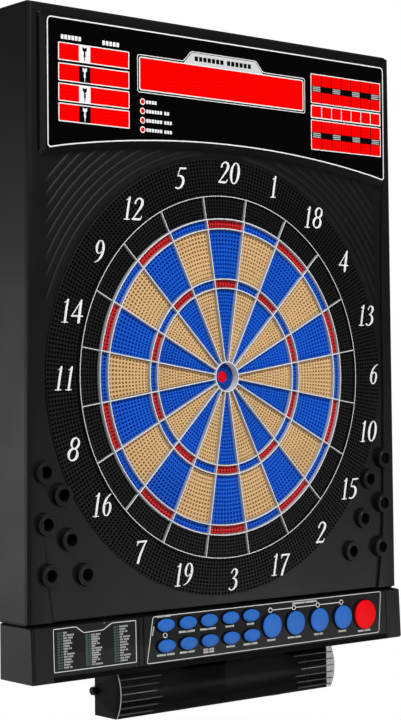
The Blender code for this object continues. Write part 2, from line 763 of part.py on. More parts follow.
def cover_pivots():
    """Shouldered pins with a knob outside each end of the cover."""
    knob_radius, knob_length = 0.0050, 0.0045
    shoulder = STORE_HALF_WIDTH + GAP + COVER_PLATE + GAP
    inside = STORE_HALF_WIDTH - STORE_WALL - 0.002
    for name, end in (("cover_pivot_left", -1), ("cover_pivot_right", 1)):
        tip = shoulder + knob_length
        stages = ((PIVOT_RADIUS, inside), (PIVOT_RADIUS, shoulder), (knob_radius, shoulder),
                  (knob_radius, tip - 0.001), (knob_radius - 0.001, tip))
        bm = bmesh.new()
        add_loft(bm, [across(circle(r, 16, PIVOT_Y, PIVOT_Z), end * x) for r, x in stages])
        smooth(make_object(name, bm, "steel"))


def main():
    for obj in list(bpy.data.objects):
        bpy.data.objects.remove(obj, do_unlink=True)
    front_housing()
    rear_cover()
    number_ring()
    outfield_ring()
    spider()
    sector_keys()
    bulls()
    switch_stack()
    display()
    control_housing()
    buttons()
    control_electronics()
    power_jack()
    main_board()
    speaker()
    storage_bin()
    storage_cover()
    cover_pivots()


main()
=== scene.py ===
"""Looks of the electronic dartboard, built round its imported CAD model.

Lengths are metres in the model's frame: +Z is up, the wall is the plane y = 0 behind the board,
and the target's axis runs along Y through the origin.  Outlines are lists of (x, z) points that
run anticlockwise as seen from the front.  Angles about the target run clockwise from the top.
"""
from math import asin, cos, dist, radians, sin, tau

import bmesh
import bpy
from mathutils import Matrix, Vector


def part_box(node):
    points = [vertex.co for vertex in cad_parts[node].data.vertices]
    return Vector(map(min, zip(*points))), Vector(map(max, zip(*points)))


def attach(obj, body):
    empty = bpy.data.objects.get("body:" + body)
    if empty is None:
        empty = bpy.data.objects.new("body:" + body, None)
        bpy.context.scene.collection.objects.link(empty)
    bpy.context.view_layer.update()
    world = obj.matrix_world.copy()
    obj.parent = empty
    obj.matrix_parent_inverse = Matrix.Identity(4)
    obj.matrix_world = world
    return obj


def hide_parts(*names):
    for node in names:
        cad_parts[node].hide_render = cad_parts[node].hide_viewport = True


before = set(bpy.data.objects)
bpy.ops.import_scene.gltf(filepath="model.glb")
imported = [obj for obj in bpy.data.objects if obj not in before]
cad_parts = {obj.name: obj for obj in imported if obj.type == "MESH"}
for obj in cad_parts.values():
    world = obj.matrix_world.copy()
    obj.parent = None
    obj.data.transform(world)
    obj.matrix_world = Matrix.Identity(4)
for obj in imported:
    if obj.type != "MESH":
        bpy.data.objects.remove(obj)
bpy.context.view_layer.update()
LOW = {name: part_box(name)[0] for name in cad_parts}
HIGH = {name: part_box(name)[1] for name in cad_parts}

# ---- driving dimensions
SECTORS = 20
NUMBERS = (20, 1, 18, 4, 13, 6, 10, 15, 2, 17, 3, 19, 7, 16, 8, 11, 14, 9, 12, 5)
SECTOR_ANGLE = tau / SECTORS
WEB = 0.0023  # width of the spider's walls
RIM_WEB = 0.0017
GAP = 0.00035  # between a key and the spider
BULL_WALL = (0.0174, 0.0197)  # radii of the bull's cup, and of the walls and the rim
TRIPLE = (0.111, 0.1225)
DOUBLE = (0.1854, 0.1977)
RIM = 0.2265
RING = (RIM + 0.5 * RIM_WEB + 0.0003, HIGH["number_ring"].x - 0.0042)
FACE = LOW["sector_20"].y  # front of the keys and of the black rings
PIT_DEPTH = 0.005
KEY_PIT, RING_PIT, OUTFIELD_PIT = 0.35, 0.37, 0.34  # a pit's radius as a share of its field
HOUSING = -0.0562  # front face of the housing
BAND = 0.003  # height of the borders on it
LENS = LOW["display_lens"].y
BAR_TOP, BAR_LOW = HIGH["control_housing"].z, LOW["control_housing"].z
BAR_FRONT = (-0.0654, LOW["control_housing"].y)  # at the top and at the bottom
INK = 0.00012  # how far printing stands out
PIVOT = (0.5 * (LOW["cover_pivot_left"].y + HIGH["cover_pivot_left"].y),
         0.5 * (LOW["cover_pivot_left"].z + HIGH["cover_pivot_left"].z))


# ---- mesh tools
class Shape:
    """Points and faces of one piece; points that coincide are joined.  Printing has a face to lie on."""

    def __init__(self, lay=None):
        self.lay = lay
        self.points = []
        self.faces = []
        self.inks = []
        self.known = {}

    def point(self, p):
        key = tuple(round(c * 2e5) for c in p)
        if key not in self.known:
            self.known[key] = len(self.points)
            self.points.append(tuple(p))
        return self.known[key]

    def face(self, corners, ink=0):
        """A face through its corners, anticlockwise seen from outside, in the piece's nth material."""
        ring = []
        for corner in corners:
            index = self.point(corner)
            if index not in ring:
                ring.append(index)
        if len(ring) > 2:
            self.faces.append(ring)
            self.inks.append(ink)

    def skin(self, near, far, ink=0):
        """Faces between two closed loops with the same number of points."""
        for i in range(len(near)):
            j = (i + 1) % len(near)
            self.face((near[i], far[i], far[j], near[j]), ink)

    def skins(self, loops, ink=0):
        """Faces along a row of loops, open at its ends."""
        for near, far in zip(loops, loops[1:]):
            self.skin(near, far, ink)

    def loft(self, loops, closed=False, ink=0):
        """Skin a row of loops; closed joins the last to the first, otherwise the ends are capped."""
        self.skins(loops, ink)
        if closed:
            self.skin(loops[-1], loops[0], ink)
        else:
            self.face(loops[0], ink)
            self.face(loops[-1][::-1], ink)

    def mesh(self, name, materials, angle=35.0):
        mesh = bpy.data.meshes.new(name)
        mesh.from_pydata(self.points, [], self.faces)
        for one in materials:
            mesh.materials.append(one)
        mesh.polygons.foreach_set("material_index", self.inks)
        mesh.shade_smooth()
        mesh.set_sharp_from_angle(angle=radians(angle))
        return mesh


def fix_normals(mesh):
    """Turn the faces of a closed mesh outwards."""
    bm = bmesh.new()
    bm.from_mesh(mesh)
    bmesh.ops.recalc_face_normals(bm, faces=bm.faces)
    bm.to_mesh(mesh)
    bm.free()


def add_object(name, data):
    """A new object in the scene."""
    obj = bpy.data.objects.new(name, data)
    bpy.context.scene.collection.objects.link(obj)
    return obj


def place(name, mesh, body, slot, *replaced):
    """A piece that rides on a body and may stand for CAD nodes; its slot is not used."""
    obj = add_object(name, mesh)
    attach(obj, body)
    if replaced:
        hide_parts(*replaced)
    return obj


def piece(name, shape, materials, slot, *replaced, body="cabinet", angle=35.0, turn_out=True):
    """Place a shape; edges sharper than the angle stay crisp."""
    mesh = shape.mesh(name, materials, angle)
    if turn_out:
        fix_normals(mesh)
    return place(name, mesh, body, slot, *replaced)


def bevel(obj, width, segments=2, angle=30.0):
    """Round an object's edges where the surface turns by more than the angle."""
    modifier = obj.modifiers.new("soft edges", "BEVEL")
    modifier.width = width
    modifier.segments = segments
    modifier.limit_method = "ANGLE"
    modifier.angle_limit = radians(angle)
    modifier.harden_normals = True


def spot(r, angle, y):
    """The point at a radius and an angle about the target's axis."""
    return (r * sin(angle), y, r * cos(angle))


def ring_loop(radius, y, steps):
    """A ring of points about the target's axis, from the top."""
    return [spot(radius, tau * i / steps, y) for i in range(steps)]


def at_depth(outline, y):
    """The outline in the plane at a depth."""
    return [(x, y, z) for x, z in outline]


def on_bar(outline, proud):
    """The outline laid on the bar's leaning front, a distance in front of it."""
    return [(x, bar_front(z) - proud, z) for x, z in outline]


def bar_front(z):
    """The depth of the bar's front at a height."""
    t = (BAR_TOP - z) / (BAR_TOP - BAR_LOW)
    return BAR_FRONT[0] + (BAR_FRONT[1] - BAR_FRONT[0]) * t


def circle(radius, x=0.0, z=0.0, steps=48, stretch=1.0):
    """A circle, or with stretch an ellipse that is so many times as wide as high."""
    angles = [tau * (i + 0.5) / steps for i in range(steps)]
    return [(x + stretch * radius * cos(a), z + radius * sin(a)) for a in angles]


def rectangle(x0, x1, z0, z1):
    """An outline between two x and two z values."""
    return [(x0, z0), (x1, z0), (x1, z1), (x0, z1)]


def arms(outline, i):
    """Unit vectors from an outline's corner to the corners before and after it."""
    x, z = outline[i]
    ends = outline[i - 1], outline[(i + 1) % len(outline)]
    return [Vector((u - x, v - z)).normalized() for u, v in ends]


def offset(outline, distance):
    """The outline moved inwards by a distance."""
    moved = []
    for i, (x, z) in enumerate(outline):
        before, after = arms(outline, i)
        inward = Vector((before.y - after.y, after.x - before.x))
        scale = distance / max(0.35, 0.5 * inward.length) / inward.length if inward.length else 0.0
        moved.append((x + inward.x * scale, z + inward.y * scale))
    return moved


def rounded(corners, radius, steps=4):
    """Round the corners of an outline with short arcs."""
    outline = []
    for i, (x, z) in enumerate(corners):
        before, after = [arm * radius for arm in arms(corners, i)]
        for step in range(steps + 1):
            t = step / steps
            back, on = (1.0 - t) ** 2, t ** 2
            outline.append((x + back * before.x + on * after.x, z + back * before.y + on * after.y))
    return outline


def slab(shape, outline, thick=INK):
    """A thin plate with the outline, on the face that the shape lies on."""
    shape.loft([shape.lay(outline, thick), shape.lay(outline, 0.0)])


def frame_line(shape, outline, width, thick=INK):
    """A printed line that runs along the inside of an outline."""
    inner = offset(outline, width)
    shape.loft([shape.lay(outline, 0.0), shape.lay(outline, thick), shape.lay(inner, thick),
                shape.lay(inner, 0.0)], closed=True)


def lathe(shape, profile, x=0.0, z=0.0, steps=48, closed=False, ink=0):
    """Turn a profile of (radius, y) points about an axis along Y."""
    shape.loft([at_depth(circle(r, x, z, steps), y) for r, y in profile], closed, ink)


# ---- materials
def put(node, **values):
    """Set a node's inputs; an underscore stands for each space in their names."""
    for name, value in values.items():
        node.inputs[name.replace("_", " ")].default_value = value
    return node


def join(tree, *links):
    """Link sockets, each given as (node, output, node, input)."""
    for source, output, target, name in links:
        tree.links.new(source.outputs[output], target.inputs[name])


def plastic(name, colour, roughness, grain=900.0, bump=0.05, shift=0.1, spread=0.08, specular=0.5):
    """Moulded plastic: a fine grain in the surface, and colour and gloss that vary slightly over it."""
    material = bpy.data.materials.new(name)
    material.use_nodes = True
    tree = material.node_tree
    new = tree.nodes.new
    shader = put(tree.nodes["Principled BSDF"], Specular_IOR_Level=specular)
    place_node = new("ShaderNodeTexCoord")
    cloud = put(new("ShaderNodeTexNoise"), Scale=14.0, Detail=5.0)
    fine = put(new("ShaderNodeTexNoise"), Scale=grain, Detail=3.0)
    tone = new("ShaderNodeValToRGB")
    for stop, position, sign in zip(tone.color_ramp.elements, (0.3, 0.7), (-1.0, 1.0)):
        stop.position = position
        stop.color = (*[c * (1.0 + sign * shift) for c in colour], 1.0)
    gloss = put(new("ShaderNodeMapRange"), To_Min=max(0.0, roughness - spread),
                To_Max=min(1.0, roughness + spread))
    relief = put(new("ShaderNodeBump"), Strength=bump, Distance=0.0004)
    join(tree, (place_node, "Object", cloud, "Vector"), (place_node, "Object", fine, "Vector"),
         (cloud, "Fac", tone, "Fac"), (cloud, "Fac", gloss, "Value"), (tone, "Color", shader, "Base Color"),
         (gloss, "Result", shader, "Roughness"), (fine, "Fac", relief, "Height"),
         (relief, "Normal", shader, "Normal"))
    return material


def lit_window(name, colour, glow, pitch=0.0042, dim=0.8):
    """Red display filter over rows and columns of light-emitting diodes, seen as a fine grid."""
    material = plastic(name, colour, 0.3, bump=0.01, specular=0.04)
    tree = material.node_tree
    new = tree.nodes.new
    shader = put(tree.nodes["Principled BSDF"], Emission_Strength=glow)
    lay = put(new("ShaderNodeMapping"), Rotation=(radians(90.0), 0.0, 0.0))
    grid = put(new("ShaderNodeTexBrick"), Scale=1.0, Brick_Width=pitch, Row_Height=pitch,
               Mortar_Size=0.12 * pitch, Mortar_Smooth=0.6, Color1=(*colour, 1.0),
               Color2=(*[0.97 * c for c in colour], 1.0), Mortar=(*[dim * c for c in colour], 1.0))
    grid.offset = 0.0
    join(tree, (new("ShaderNodeTexCoord"), "Object", lay, "Vector"), (lay, "Vector", grid, "Vector"),
         (grid, "Color", shader, "Base Color"), (grid, "Color", shader, "Emission Color"))
    return material


BLACK = plastic("housing black", (0.0042, 0.0042, 0.0044), 0.4, bump=0.1, specular=0.24)
RING_BLACK = plastic("target black", (0.0045, 0.0045, 0.0047), 0.5, bump=0.08, specular=0.2)
# Near black painted shade: pit floors, rings round the buttons, the bar's chin and grooves, holder bores
# and screw crosses.
PAINTED_SHADE = plastic("pit shadow", (0.0015, 0.0015, 0.0015), 0.8, bump=0.0, specular=0.1)
# Dark navy painted shade: the outer bull's groove rings and the blue buttons' sides.
NAVY_SHADE = plastic("navy shade", (0.002, 0.01, 0.06), 0.6, bump=0.0, specular=0.1)
# Dark brown painted shade for the pit floors of the tan keys.
TAN_PIT_SHADE = plastic("tan pit shade", (0.05, 0.025, 0.009), 0.7, bump=0.0, specular=0.1)
LENS_BLACK = plastic("lens black", (0.001, 0.001, 0.0011), 0.2, bump=0.01, spread=0.03, specular=0.08)
GREY = plastic("spider grey", (0.76, 0.78, 0.81), 0.34, bump=0.06, shift=0.04)
# A darker copy of the spider grey, painted on the walls' sides as shade.
GREY_SIDE_SHADE = plastic("spider side shade", (0.5, 0.51, 0.54), 0.4, bump=0.06, shift=0.04)
BLUE = plastic("key blue", (0.006, 0.105, 0.64), 0.45, bump=0.06, specular=0.12)
TAN = plastic("key tan", (0.74, 0.485, 0.23), 0.45, bump=0.06, shift=0.06, specular=0.3)
RED = plastic("key red", (0.62, 0.02, 0.026), 0.42, bump=0.06, specular=0.2)
BUTTON_BLUE = plastic("button blue", (0.022, 0.15, 0.56), 0.45, bump=0.05, specular=0.2)
BUTTON_RED = plastic("button red", (0.93, 0.0005, 0.006), 0.45, bump=0.05, specular=0.08)
# A darker copy of the button red, painted on the start button's side as shade.
RED_SIDE_SHADE = plastic("button red side shade", (0.15, 0.0005, 0.002), 0.45, bump=0.05, specular=0.08)
WHITE = plastic("printed white", (0.95, 0.95, 0.94), 0.45, bump=0.02, shift=0.02)
FRAME_GREY = plastic("frame grey", (0.78, 0.78, 0.77), 0.45, bump=0.02, shift=0.04)
# Grey print; also the cover's pale end rims, where it is a painted highlight.
GREY_AND_EDGE_SHEEN = plastic("printed grey and edge sheen", (0.46, 0.47, 0.465), 0.45, bump=0.02, shift=0.05)
TAB_GREY = plastic("tab grey", (0.66, 0.67, 0.67), 0.45, bump=0.02, shift=0.05)
PRINT_GREEN = plastic("printed green grey", (0.06, 0.12, 0.095), 0.45, bump=0.02, shift=0.05)
WINDOW = lit_window("display red", (0.9, 0.0002, 0.0001), 0.14)
WINDOW_BLACK = plastic("display black", (0.0015, 0.0015, 0.0015), 0.25, bump=0.01, specular=0.15)
RUBBER = plastic("rubber", (0.02, 0.02, 0.02), 0.8, bump=0.15)
FILM = plastic("contact film", (0.5, 0.34, 0.12), 0.3, bump=0.02)
BOARD = plastic("board green", (0.015, 0.12, 0.045), 0.4, bump=0.06)
SMOKE = plastic("smoke cover", (0.01, 0.01, 0.011), 0.28, grain=300.0, bump=0.02, specular=0.06)
put(SMOKE.node_tree.nodes["Principled BSDF"], Alpha=0.24)
# A darker copy of the housing black: painted shade on the pod's sloping walls; the storage bin wears it
# too.
SHADE_BLACK = plastic("shade black", (0.0016, 0.0016, 0.0017), 0.45, bump=0.02, specular=0.1)
# Painted shade for the dark lines beside the corner ribs and at the foot of the side bands' inner step.
GROOVE_SHADE = plastic("groove shade", (0.0028, 0.0028, 0.0029), 0.5, bump=0.06, specular=0.16)
# A paler copy of the housing black: painted highlight along the pod's corner creases.
CREASE_HIGHLIGHT = plastic("pod crease highlight", (0.036, 0.036, 0.036), 0.45, bump=0.02, specular=0.2)
# Paler than the smoke: painted sheen on the cover's ribs.
COVER_RIB_SHEEN = plastic("cover rib sheen", (0.06, 0.06, 0.062), 0.25, bump=0.03)


# ---- target
def limit_angle(r, inset):
    """Half the angle that a sector's cell spans at a radius, with its sides inset from the edges."""
    return 0.5 * SECTOR_ANGLE - asin(inset / r)


def pit_ring(r, angle, radius, y):
    """Eight points round a pit; its corners are drawn out, so that it looks nearly square."""
    points = []
    for k in range(8):
        direction = radians(45.0 * k - 135.0)
        reach = radius * (1.16 if k % 2 == 0 else 1.0)
        points.append(spot(r + reach * sin(direction), angle + reach * cos(direction) / r, y))
    return points


def add_pit(shape, rows, sides, size):
    """One field of a perforated face, with a tapered pit in its middle."""
    (r0, r1), (a0, a1) = rows, sides
    rc = 0.5 * (r0 + r1)
    corners = ((r0, a0(r0)), (r0, 0.5 * (a0(r0) + a1(r0))), (r0, a1(r0)), (rc, a1(rc)),
               (r1, a1(r1)), (r1, 0.5 * (a0(r1) + a1(r1))), (r1, a0(r1)), (rc, a0(rc)))
    middle = 0.5 * (a0(rc) + a1(rc))
    radius = size * min(r1 - r0, rc * (a1(rc) - a0(rc)))
    edge = [spot(r, a, FACE) for r, a in corners]
    mouth = pit_ring(rc, middle, radius, FACE)
    foot = pit_ring(rc, middle, 0.62 * radius, FACE + PIT_DEPTH)
    for k in range(8):
        j = (k + 1) % 8
        shape.face((edge[k], edge[j], mouth[j], mouth[k]))
        shape.face((mouth[k], mouth[j], foot[j], foot[k]))
    # The pit's floor wears the piece's second material, dark as painted shade.
    shape.face(foot, ink=1)


def add_cell(shape, r_in, r_out, inset, counts, size, back, edge=0.0003):
    """A perforated cell of one sector, with a row of pits for each count and softened edges."""
    rows = [r_in + (r_out - r_in) * i / len(counts) for i in range(len(counts) + 1)]
    rows[0] += edge
    rows[-1] -= edge

    def side(t, extra):
        return lambda r: t * limit_angle(r, inset + edge - extra)

    for row, count in zip(zip(rows, rows[1:]), counts):
        for i in range(count):
            sides = [side(2.0 * j / count - 1.0, 0.0) for j in (i, i + 1)]
            add_pit(shape, row, sides, size)

    marks = [(rows[0], i / counts[0] - 1.0) for i in range(2 * counts[0] + 1)]
    middles = sorted(rows + [0.5 * (a + b) for a, b in zip(rows, rows[1:])])[1:-1]
    marks += [(r, 1.0) for r in middles]
    marks += [(rows[-1], 1.0 - i / counts[-1]) for i in range(2 * counts[-1] + 1)]
    marks += [(r, -1.0) for r in reversed(middles)]

    def outline(extra, y):
        points = []
        for r, t in marks:
            grown = r - extra if r == rows[0] else r + extra if r == rows[-1] else r
            points.append(spot(grown, side(t, extra)(grown), y))
        return points

    loops = [outline(0.0, FACE), outline(0.6 * edge, FACE + 0.15 * edge),
             outline(edge, FACE + edge), outline(edge, back)]
    shape.skins(loops)
    shape.face(loops[-1][::-1])


def turned(mesh, name, angle):
    """A copy of a mesh turned clockwise about the target's axis."""
    copy = mesh.copy()
    copy.name = name
    copy.transform(Matrix.Rotation(angle, 4, "Y"))
    return copy


def single_counts(r_in, r_out, pitch, wide):
    """How many pits fit in each row of the inner singles."""
    rows = round((r_out - r_in) / pitch)
    counts = []
    for i in range(rows):
        r = r_in + (r_out - r_in) * (i + 0.5) / rows
        counts.append(max(1, round(2.0 * r * limit_angle(r, 0.5 * WEB + GAP) / wide)))
    return counts


def scoring_keys():
    """Two singles and the triple and double of every sector."""
    half = 0.5 * WEB + GAP
    back = HIGH["sector_20"].y
    singles = Shape()
    r_in, r_out = BULL_WALL[1] + GAP, TRIPLE[0] - half
    add_cell(singles, r_in, r_out, half, single_counts(r_in, r_out, 0.0045, 0.0039), KEY_PIT, back)
    add_cell(singles, TRIPLE[1] + half, DOUBLE[0] - half, half, [10] * 12, KEY_PIT, back)
    scores = Shape()
    add_cell(scores, TRIPLE[0] + half, TRIPLE[1] - half, half, [7] * 2, KEY_PIT, back)
    add_cell(scores, DOUBLE[0] + half, DOUBLE[1] - half, half, [12] * 2, KEY_PIT, back)
    masters = {}
    for label, shape, colour in (("tan", singles, TAN), ("blue", singles, BLUE),
                                 ("red_score", scores, RED), ("blue_score", scores, BLUE)):
        masters[label] = shape.mesh(label, [colour, TAN_PIT_SHADE if colour is TAN else PAINTED_SHADE], 30.0)
    for index, number in enumerate(NUMBERS):
        node = f"sector_{number:02d}"
        even = index % 2 == 0
        single, score = ("blue", "red_score") if even else ("tan", "blue_score")
        turn = index * SECTOR_ANGLE
        place(f"{node}_singles", turned(masters[single], f"{node}_singles", turn), node,
              "key_blue" if even else "key_tan", node)
        place(f"{node}_triple_double", turned(masters[score], f"{node}_triple_double", turn), node,
              "key_red" if even else "key_blue", node)


def black_rings():
    """Perforated number ring, and the perforated black ring between the doubles and the rim."""
    shape = Shape()
    columns = 16
    rows = 10
    radii = [RING[0] + (RING[1] - RING[0]) * i / rows for i in range(rows + 1)]
    for r0, r1 in zip(radii, radii[1:]):
        for i in range(columns * SECTORS):
            a0 = SECTOR_ANGLE * i / columns
            a1 = SECTOR_ANGLE * (i + 1) / columns
            add_pit(shape, (r0, r1), (lambda r, a=a0: a, lambda r, a=a1: a), RING_PIT)
    steps = 2 * columns * SECTORS
    back = HIGH["number_ring"].y
    for r, lip, out in ((radii[0], 0.0002, False), (radii[-1], 0.0006, True)):
        grow = lip if out else -lip
        profile = ((0.0, FACE), (0.7 * grow, FACE + 0.3 * lip), (grow, FACE + lip), (grow, back))
        loops = [ring_loop(r + u, y, steps) for u, y in profile]
        shape.skins([loop[::-1] for loop in loops] if out else loops)
    piece("number_ring_face", shape, [RING_BLACK, PAINTED_SHADE], "ring_black", "number_ring",
          angle=30.0, turn_out=False)

    master = Shape()
    half = 0.5 * WEB + GAP
    add_cell(master, DOUBLE[1] + half, RIM - 0.5 * RIM_WEB - GAP, half, [14] * 6, OUTFIELD_PIT,
             HIGH["outfield_ring"].y)
    mesh = master.mesh("outfield_cell", [RING_BLACK, PAINTED_SHADE], 30.0)
    bm = bmesh.new()
    for index in range(SECTORS):
        bm.from_mesh(turned(mesh, "outfield_copy", index * SECTOR_ANGLE))
    whole = mesh.copy()
    bm.to_mesh(whole)
    bm.free()
    whole.name = "outfield_face"
    place("outfield_face", whole, "cabinet", "ring_black", "outfield_ring")


CREST = (2, 3, 4, 5, 6, 7)  # the profile's points that bound its bright front
BODY = (0, 1, 8, 9)  # and the wall behind it, which most walls wear in the darker grey of painted shade


RIM_DROP = 0.0012  # how far the rim stands behind the walls


def web_profile(half, front, back):
    """A drafted wall's cross-section as (side, y) points, with softened edges along its narrow front."""
    soft, crest = 0.0003, 0.6 * half
    points = [(half, back), (crest - 0.0001, front + 0.8 * soft), (crest, front + soft),
              (crest, front + 0.7 * soft), (crest - soft, front)]
    return points + [(-u, y) for u, y in reversed(points)]


def spider():
    """Web of thin walls; the rim and the stretches outside the doubles are slimmer.  Most sides wear a
    darker grey as painted shade.
    """
    front, back = LOW["spider"].y, HIGH["spider"].y
    shape = Shape()
    steps = 360
    middle = 0.5 * (BULL_WALL[0] + BULL_WALL[1])
    for radius in (middle, TRIPLE[0], TRIPLE[1], DOUBLE[0], DOUBLE[1], RIM):
        rim = radius == RIM
        loops = []
        for u, y in web_profile(0.5 * (RIM_WEB if rim else WEB), front + (RIM_DROP if rim else 0.0), back):
            loops.append(ring_loop(radius + u, y, steps))
        shape.loft([loops[k] for k in BODY], closed=True, ink=1 if rim else 0 if radius == middle else 2)
        if not rim:
            shape.loft([loops[k] for k in CREST], closed=True)
        if rim:
            crest = ((0.0002, 0.0014), (0.0002, 0.0011), (-0.0007, 0.0011), (-0.0007, 0.0014))
            shape.loft([ring_loop(radius + u, front + y, steps) for u, y in crest], closed=True)
    stretches = ((middle, DOUBLE[1], 0.5 * WEB, front + 0.0001),
                 (DOUBLE[1], RIM, 0.36 * WEB, front + RIM_DROP + 0.0001))
    for index in range(SECTORS):
        angle = (index + 0.5) * SECTOR_ANGLE
        s, c = sin(angle), cos(angle)
        for r0, r1, half, nose in stretches:
            loops = []
            for r in (r0, r1):
                loops.append([(r * s + u * c, y, r * c - u * s) for u, y in web_profile(half, nose, back)])
            shape.loft([[loop[k] for k in BODY] for loop in loops], ink=2)
            shape.loft([[loop[k] for k in CREST] for loop in loops])
    piece("spider_web", shape, [GREY, RING_BLACK, GREY_SIDE_SHADE], "spider_grey", "spider", angle=50.0)


def bulls():
    """Ridged blue outer bull, hollowed towards the middle, with painted shade in its grooves and pits, and
    the red inner bull with its pits.
    """
    inner, outer = 0.0076, BULL_WALL[0] - GAP
    edge = LOW["outer_bull"].y
    rings = 4
    shape = Shape()
    lathe(shape, ((inner, HIGH["outer_bull"].y), (inner, edge + 0.001), (outer, edge + 0.0014),
                  (outer, HIGH["outer_bull"].y)), steps=64, closed=True)
    pitch = (outer - inner) / rings
    for ring in range(rings):
        middle = inner + pitch * (ring + 0.5)
        count = 14 + 5 * ring
        lift = edge + 0.001 + 0.0004 * (ring + 0.5) / rings
        for u, half, high, flat, ink in ((-0.2 * pitch, 0.3 * pitch, 0.0005, 0.8, 0),
                                         (0.32 * pitch, 0.18 * pitch, 0.0002, 0.9, 2)):
            profile = ((-1.0, -0.0001), (-flat, high), (flat, high), (1.0, -0.0001))
            profile = [(middle + u + w * half, lift - y) for w, y in profile]
            lathe(shape, profile, steps=64, closed=True, ink=ink)
        for k in range(count):
            x, _, z = spot(middle - 0.2 * pitch, tau * k / count, 0.0)
            lathe(shape, [(0.0004, lift - y) for y in (0.0006, 0.00075)], x, z, 6, ink=1)
    piece("outer_bull_face", shape, [BLUE, PAINTED_SHADE, NAVY_SHADE], "key_blue", "outer_bull", body="outer_bull",
          angle=60.0)

    radius, face = 0.0072, LOW["inner_bull"].y
    shape = Shape()
    lathe(shape, ((radius, HIGH["inner_bull"].y), (radius, face + 0.0008), (radius - 0.0003, face + 0.0002),
                  (radius - 0.0009, face)))
    bull = piece("inner_bull_face", shape, [BUTTON_RED, PAINTED_SHADE], "key_red", "inner_bull", body="inner_bull")
    pits = Shape()
    spots = [(0.0, 0.0)] + [spot(0.0042, radians(60.0 * k), 0.0)[0::2] for k in range(6)]
    for x, z in spots:
        lathe(pits, ((0.0006, face - 0.0005), (0.0005, face + 0.003)), x, z, 12)
    cutter = add_object("cutter", pits.mesh("cutter", [PAINTED_SHADE]))
    fix_normals(cutter.data)
    cut = bull.modifiers.new("pits", "BOOLEAN")
    cut.operation = "DIFFERENCE"
    cut.object = cutter
    result = bpy.data.meshes.new_from_object(bull.evaluated_get(bpy.context.evaluated_depsgraph_get()))
    bull.modifiers.clear()
    bull.data = result
    bpy.data.objects.remove(cutter, do_unlink=True)


# ---- numbers
# Each figure is a set of pen strokes.  Points are (x, z, half the pen's width there), in thousandths of
# the figure's height.
def loop_stroke(x, z, wide, high, thick, thin, turn=0.0, steps=24):
    """A closed oval stroke, thick at its sides and thin at its top and bottom."""
    points = []
    for i in range(steps + 1):
        angle = tau * i / steps
        points.append((x + wide * cos(angle), z + high * sin(angle),
                       thin + (thick - thin) * abs(cos(angle + turn)) ** 1.5))
    return points


NINE_TAIL = ((430, 970, 12), (270, 880, 30), (130, 680, 52), (80, 420, 60),
             (100, 200, 50), (170, 60, 30), (250, 25, 20), (350, 90, 36),
             (410, 300, 54), (380, 500, 40), (280, 585, 20), (170, 520, 20),
             (100, 420, 20))
FIGURES = {
    "0": [loop_stroke(250, 500, 185, 475, 58, 20)],
    "1": [((120, 860, 14), (200, 900, 20), (280, 970, 30)),
          ((270, 970, 50), (250, 600, 54), (250, 300, 54), (250, 30, 52)),
          ((100, 18, 18), (250, 18, 18), (400, 18, 18))],
    "2": [((60, 740, 40), (80, 840, 32), (160, 940, 30), (270, 965, 34),
           (380, 880, 52), (400, 740, 60), (350, 580, 52), (200, 320, 32),
           (40, 60, 22)),
          ((30, 45, 45), (200, 45, 45), (340, 45, 44), (400, 80, 30),
           (440, 190, 12))],
    "3": [((70, 790, 26), (110, 890, 24), (210, 967, 26), (330, 900, 52),
           (360, 780, 56), (300, 640, 36), (170, 545, 16)),
          ((160, 545, 16), (300, 510, 36), (390, 380, 60), (385, 200, 60),
           (270, 60, 36), (140, 25, 26), (40, 90, 40))],
    "4": [((350, 970, 22), (200, 650, 20), (30, 310, 20)),
          ((20, 290, 32), (250, 290, 32), (470, 290, 32)),
          ((345, 970, 34), (340, 600, 52), (340, 300, 52), (340, 20, 50))],
    "5": [((150, 945, 36), (300, 945, 38), (440, 955, 36)),
          ((145, 940, 20), (110, 780, 20), (75, 585, 20)),
          ((80, 585, 22), (230, 600, 40), (360, 490, 60), (395, 320, 62),
           (330, 140, 50), (190, 35, 32), (50, 55, 36))],
    "6": [NINE_TAIL],
    "7": [((50, 920, 42), (250, 925, 42), (450, 935, 36)),
          ((30, 770, 12), (55, 860, 24), (90, 930, 30)),
          ((445, 950, 22), (310, 600, 38), (220, 300, 50), (170, 20, 56))],
    "8": [loop_stroke(272, 745, 150, 225, 48, 22, 0.5),
          loop_stroke(240, 270, 175, 245, 54, 22, 0.5)],
    "9": [[(480 - x, 1000 - z, w) for x, z, w in NINE_TAIL]],
}
FIGURE_HEIGHT = 0.0276
FIGURE_NUDGE = {20: (4, 1), 18: (-2, 0), 4: (-4, 1), 10: (0, 2), 15: (-1, -2), 2: (3, 0), 19: (-2, 0),
                7: (3, -3), 16: (3, 0), 8: (-1, -4), 9: (5, 0), 12: (0, -3), 5: (3, 2)}  # mm
FIGURE_STRETCH = {"0": 1.2, "1": 1.0, "2": 1.14, "3": 1.06, "4": 1.24, "5": 1.08, "6": 1.04, "7": 1.16,
                  "8": 1.28, "9": 1.08}
FIGURE_SPACE = 0.04
FIGURE_SLANT = 0.17
FIGURE_RADIUS = 0.255
FIGURE_SHIFT = (0.0086, 0.0009)  # the whole set of numbers sits a little right of the axis
FIGURE_TURN = radians(-0.6)


def smooth_stroke(points, steps=6):
    """Catmull-Rom curve through a stroke's points, their widths included."""
    path = []
    count = len(points)
    for i in range(count - 1):
        a, b = points[max(i - 1, 0)], points[i]
        c, d = points[i + 1], points[min(i + 2, count - 1)]
        for step in range(steps):
            t = step / steps
            path.append([0.5 * (2 * q + (r - p) * t + (2 * p - 5 * q + 4 * r - s) * t * t
                                + (3 * q - p - 3 * r + s) * t ** 3) for p, q, r, s in zip(a, b, c, d)])
    path.append(points[-1])
    return path


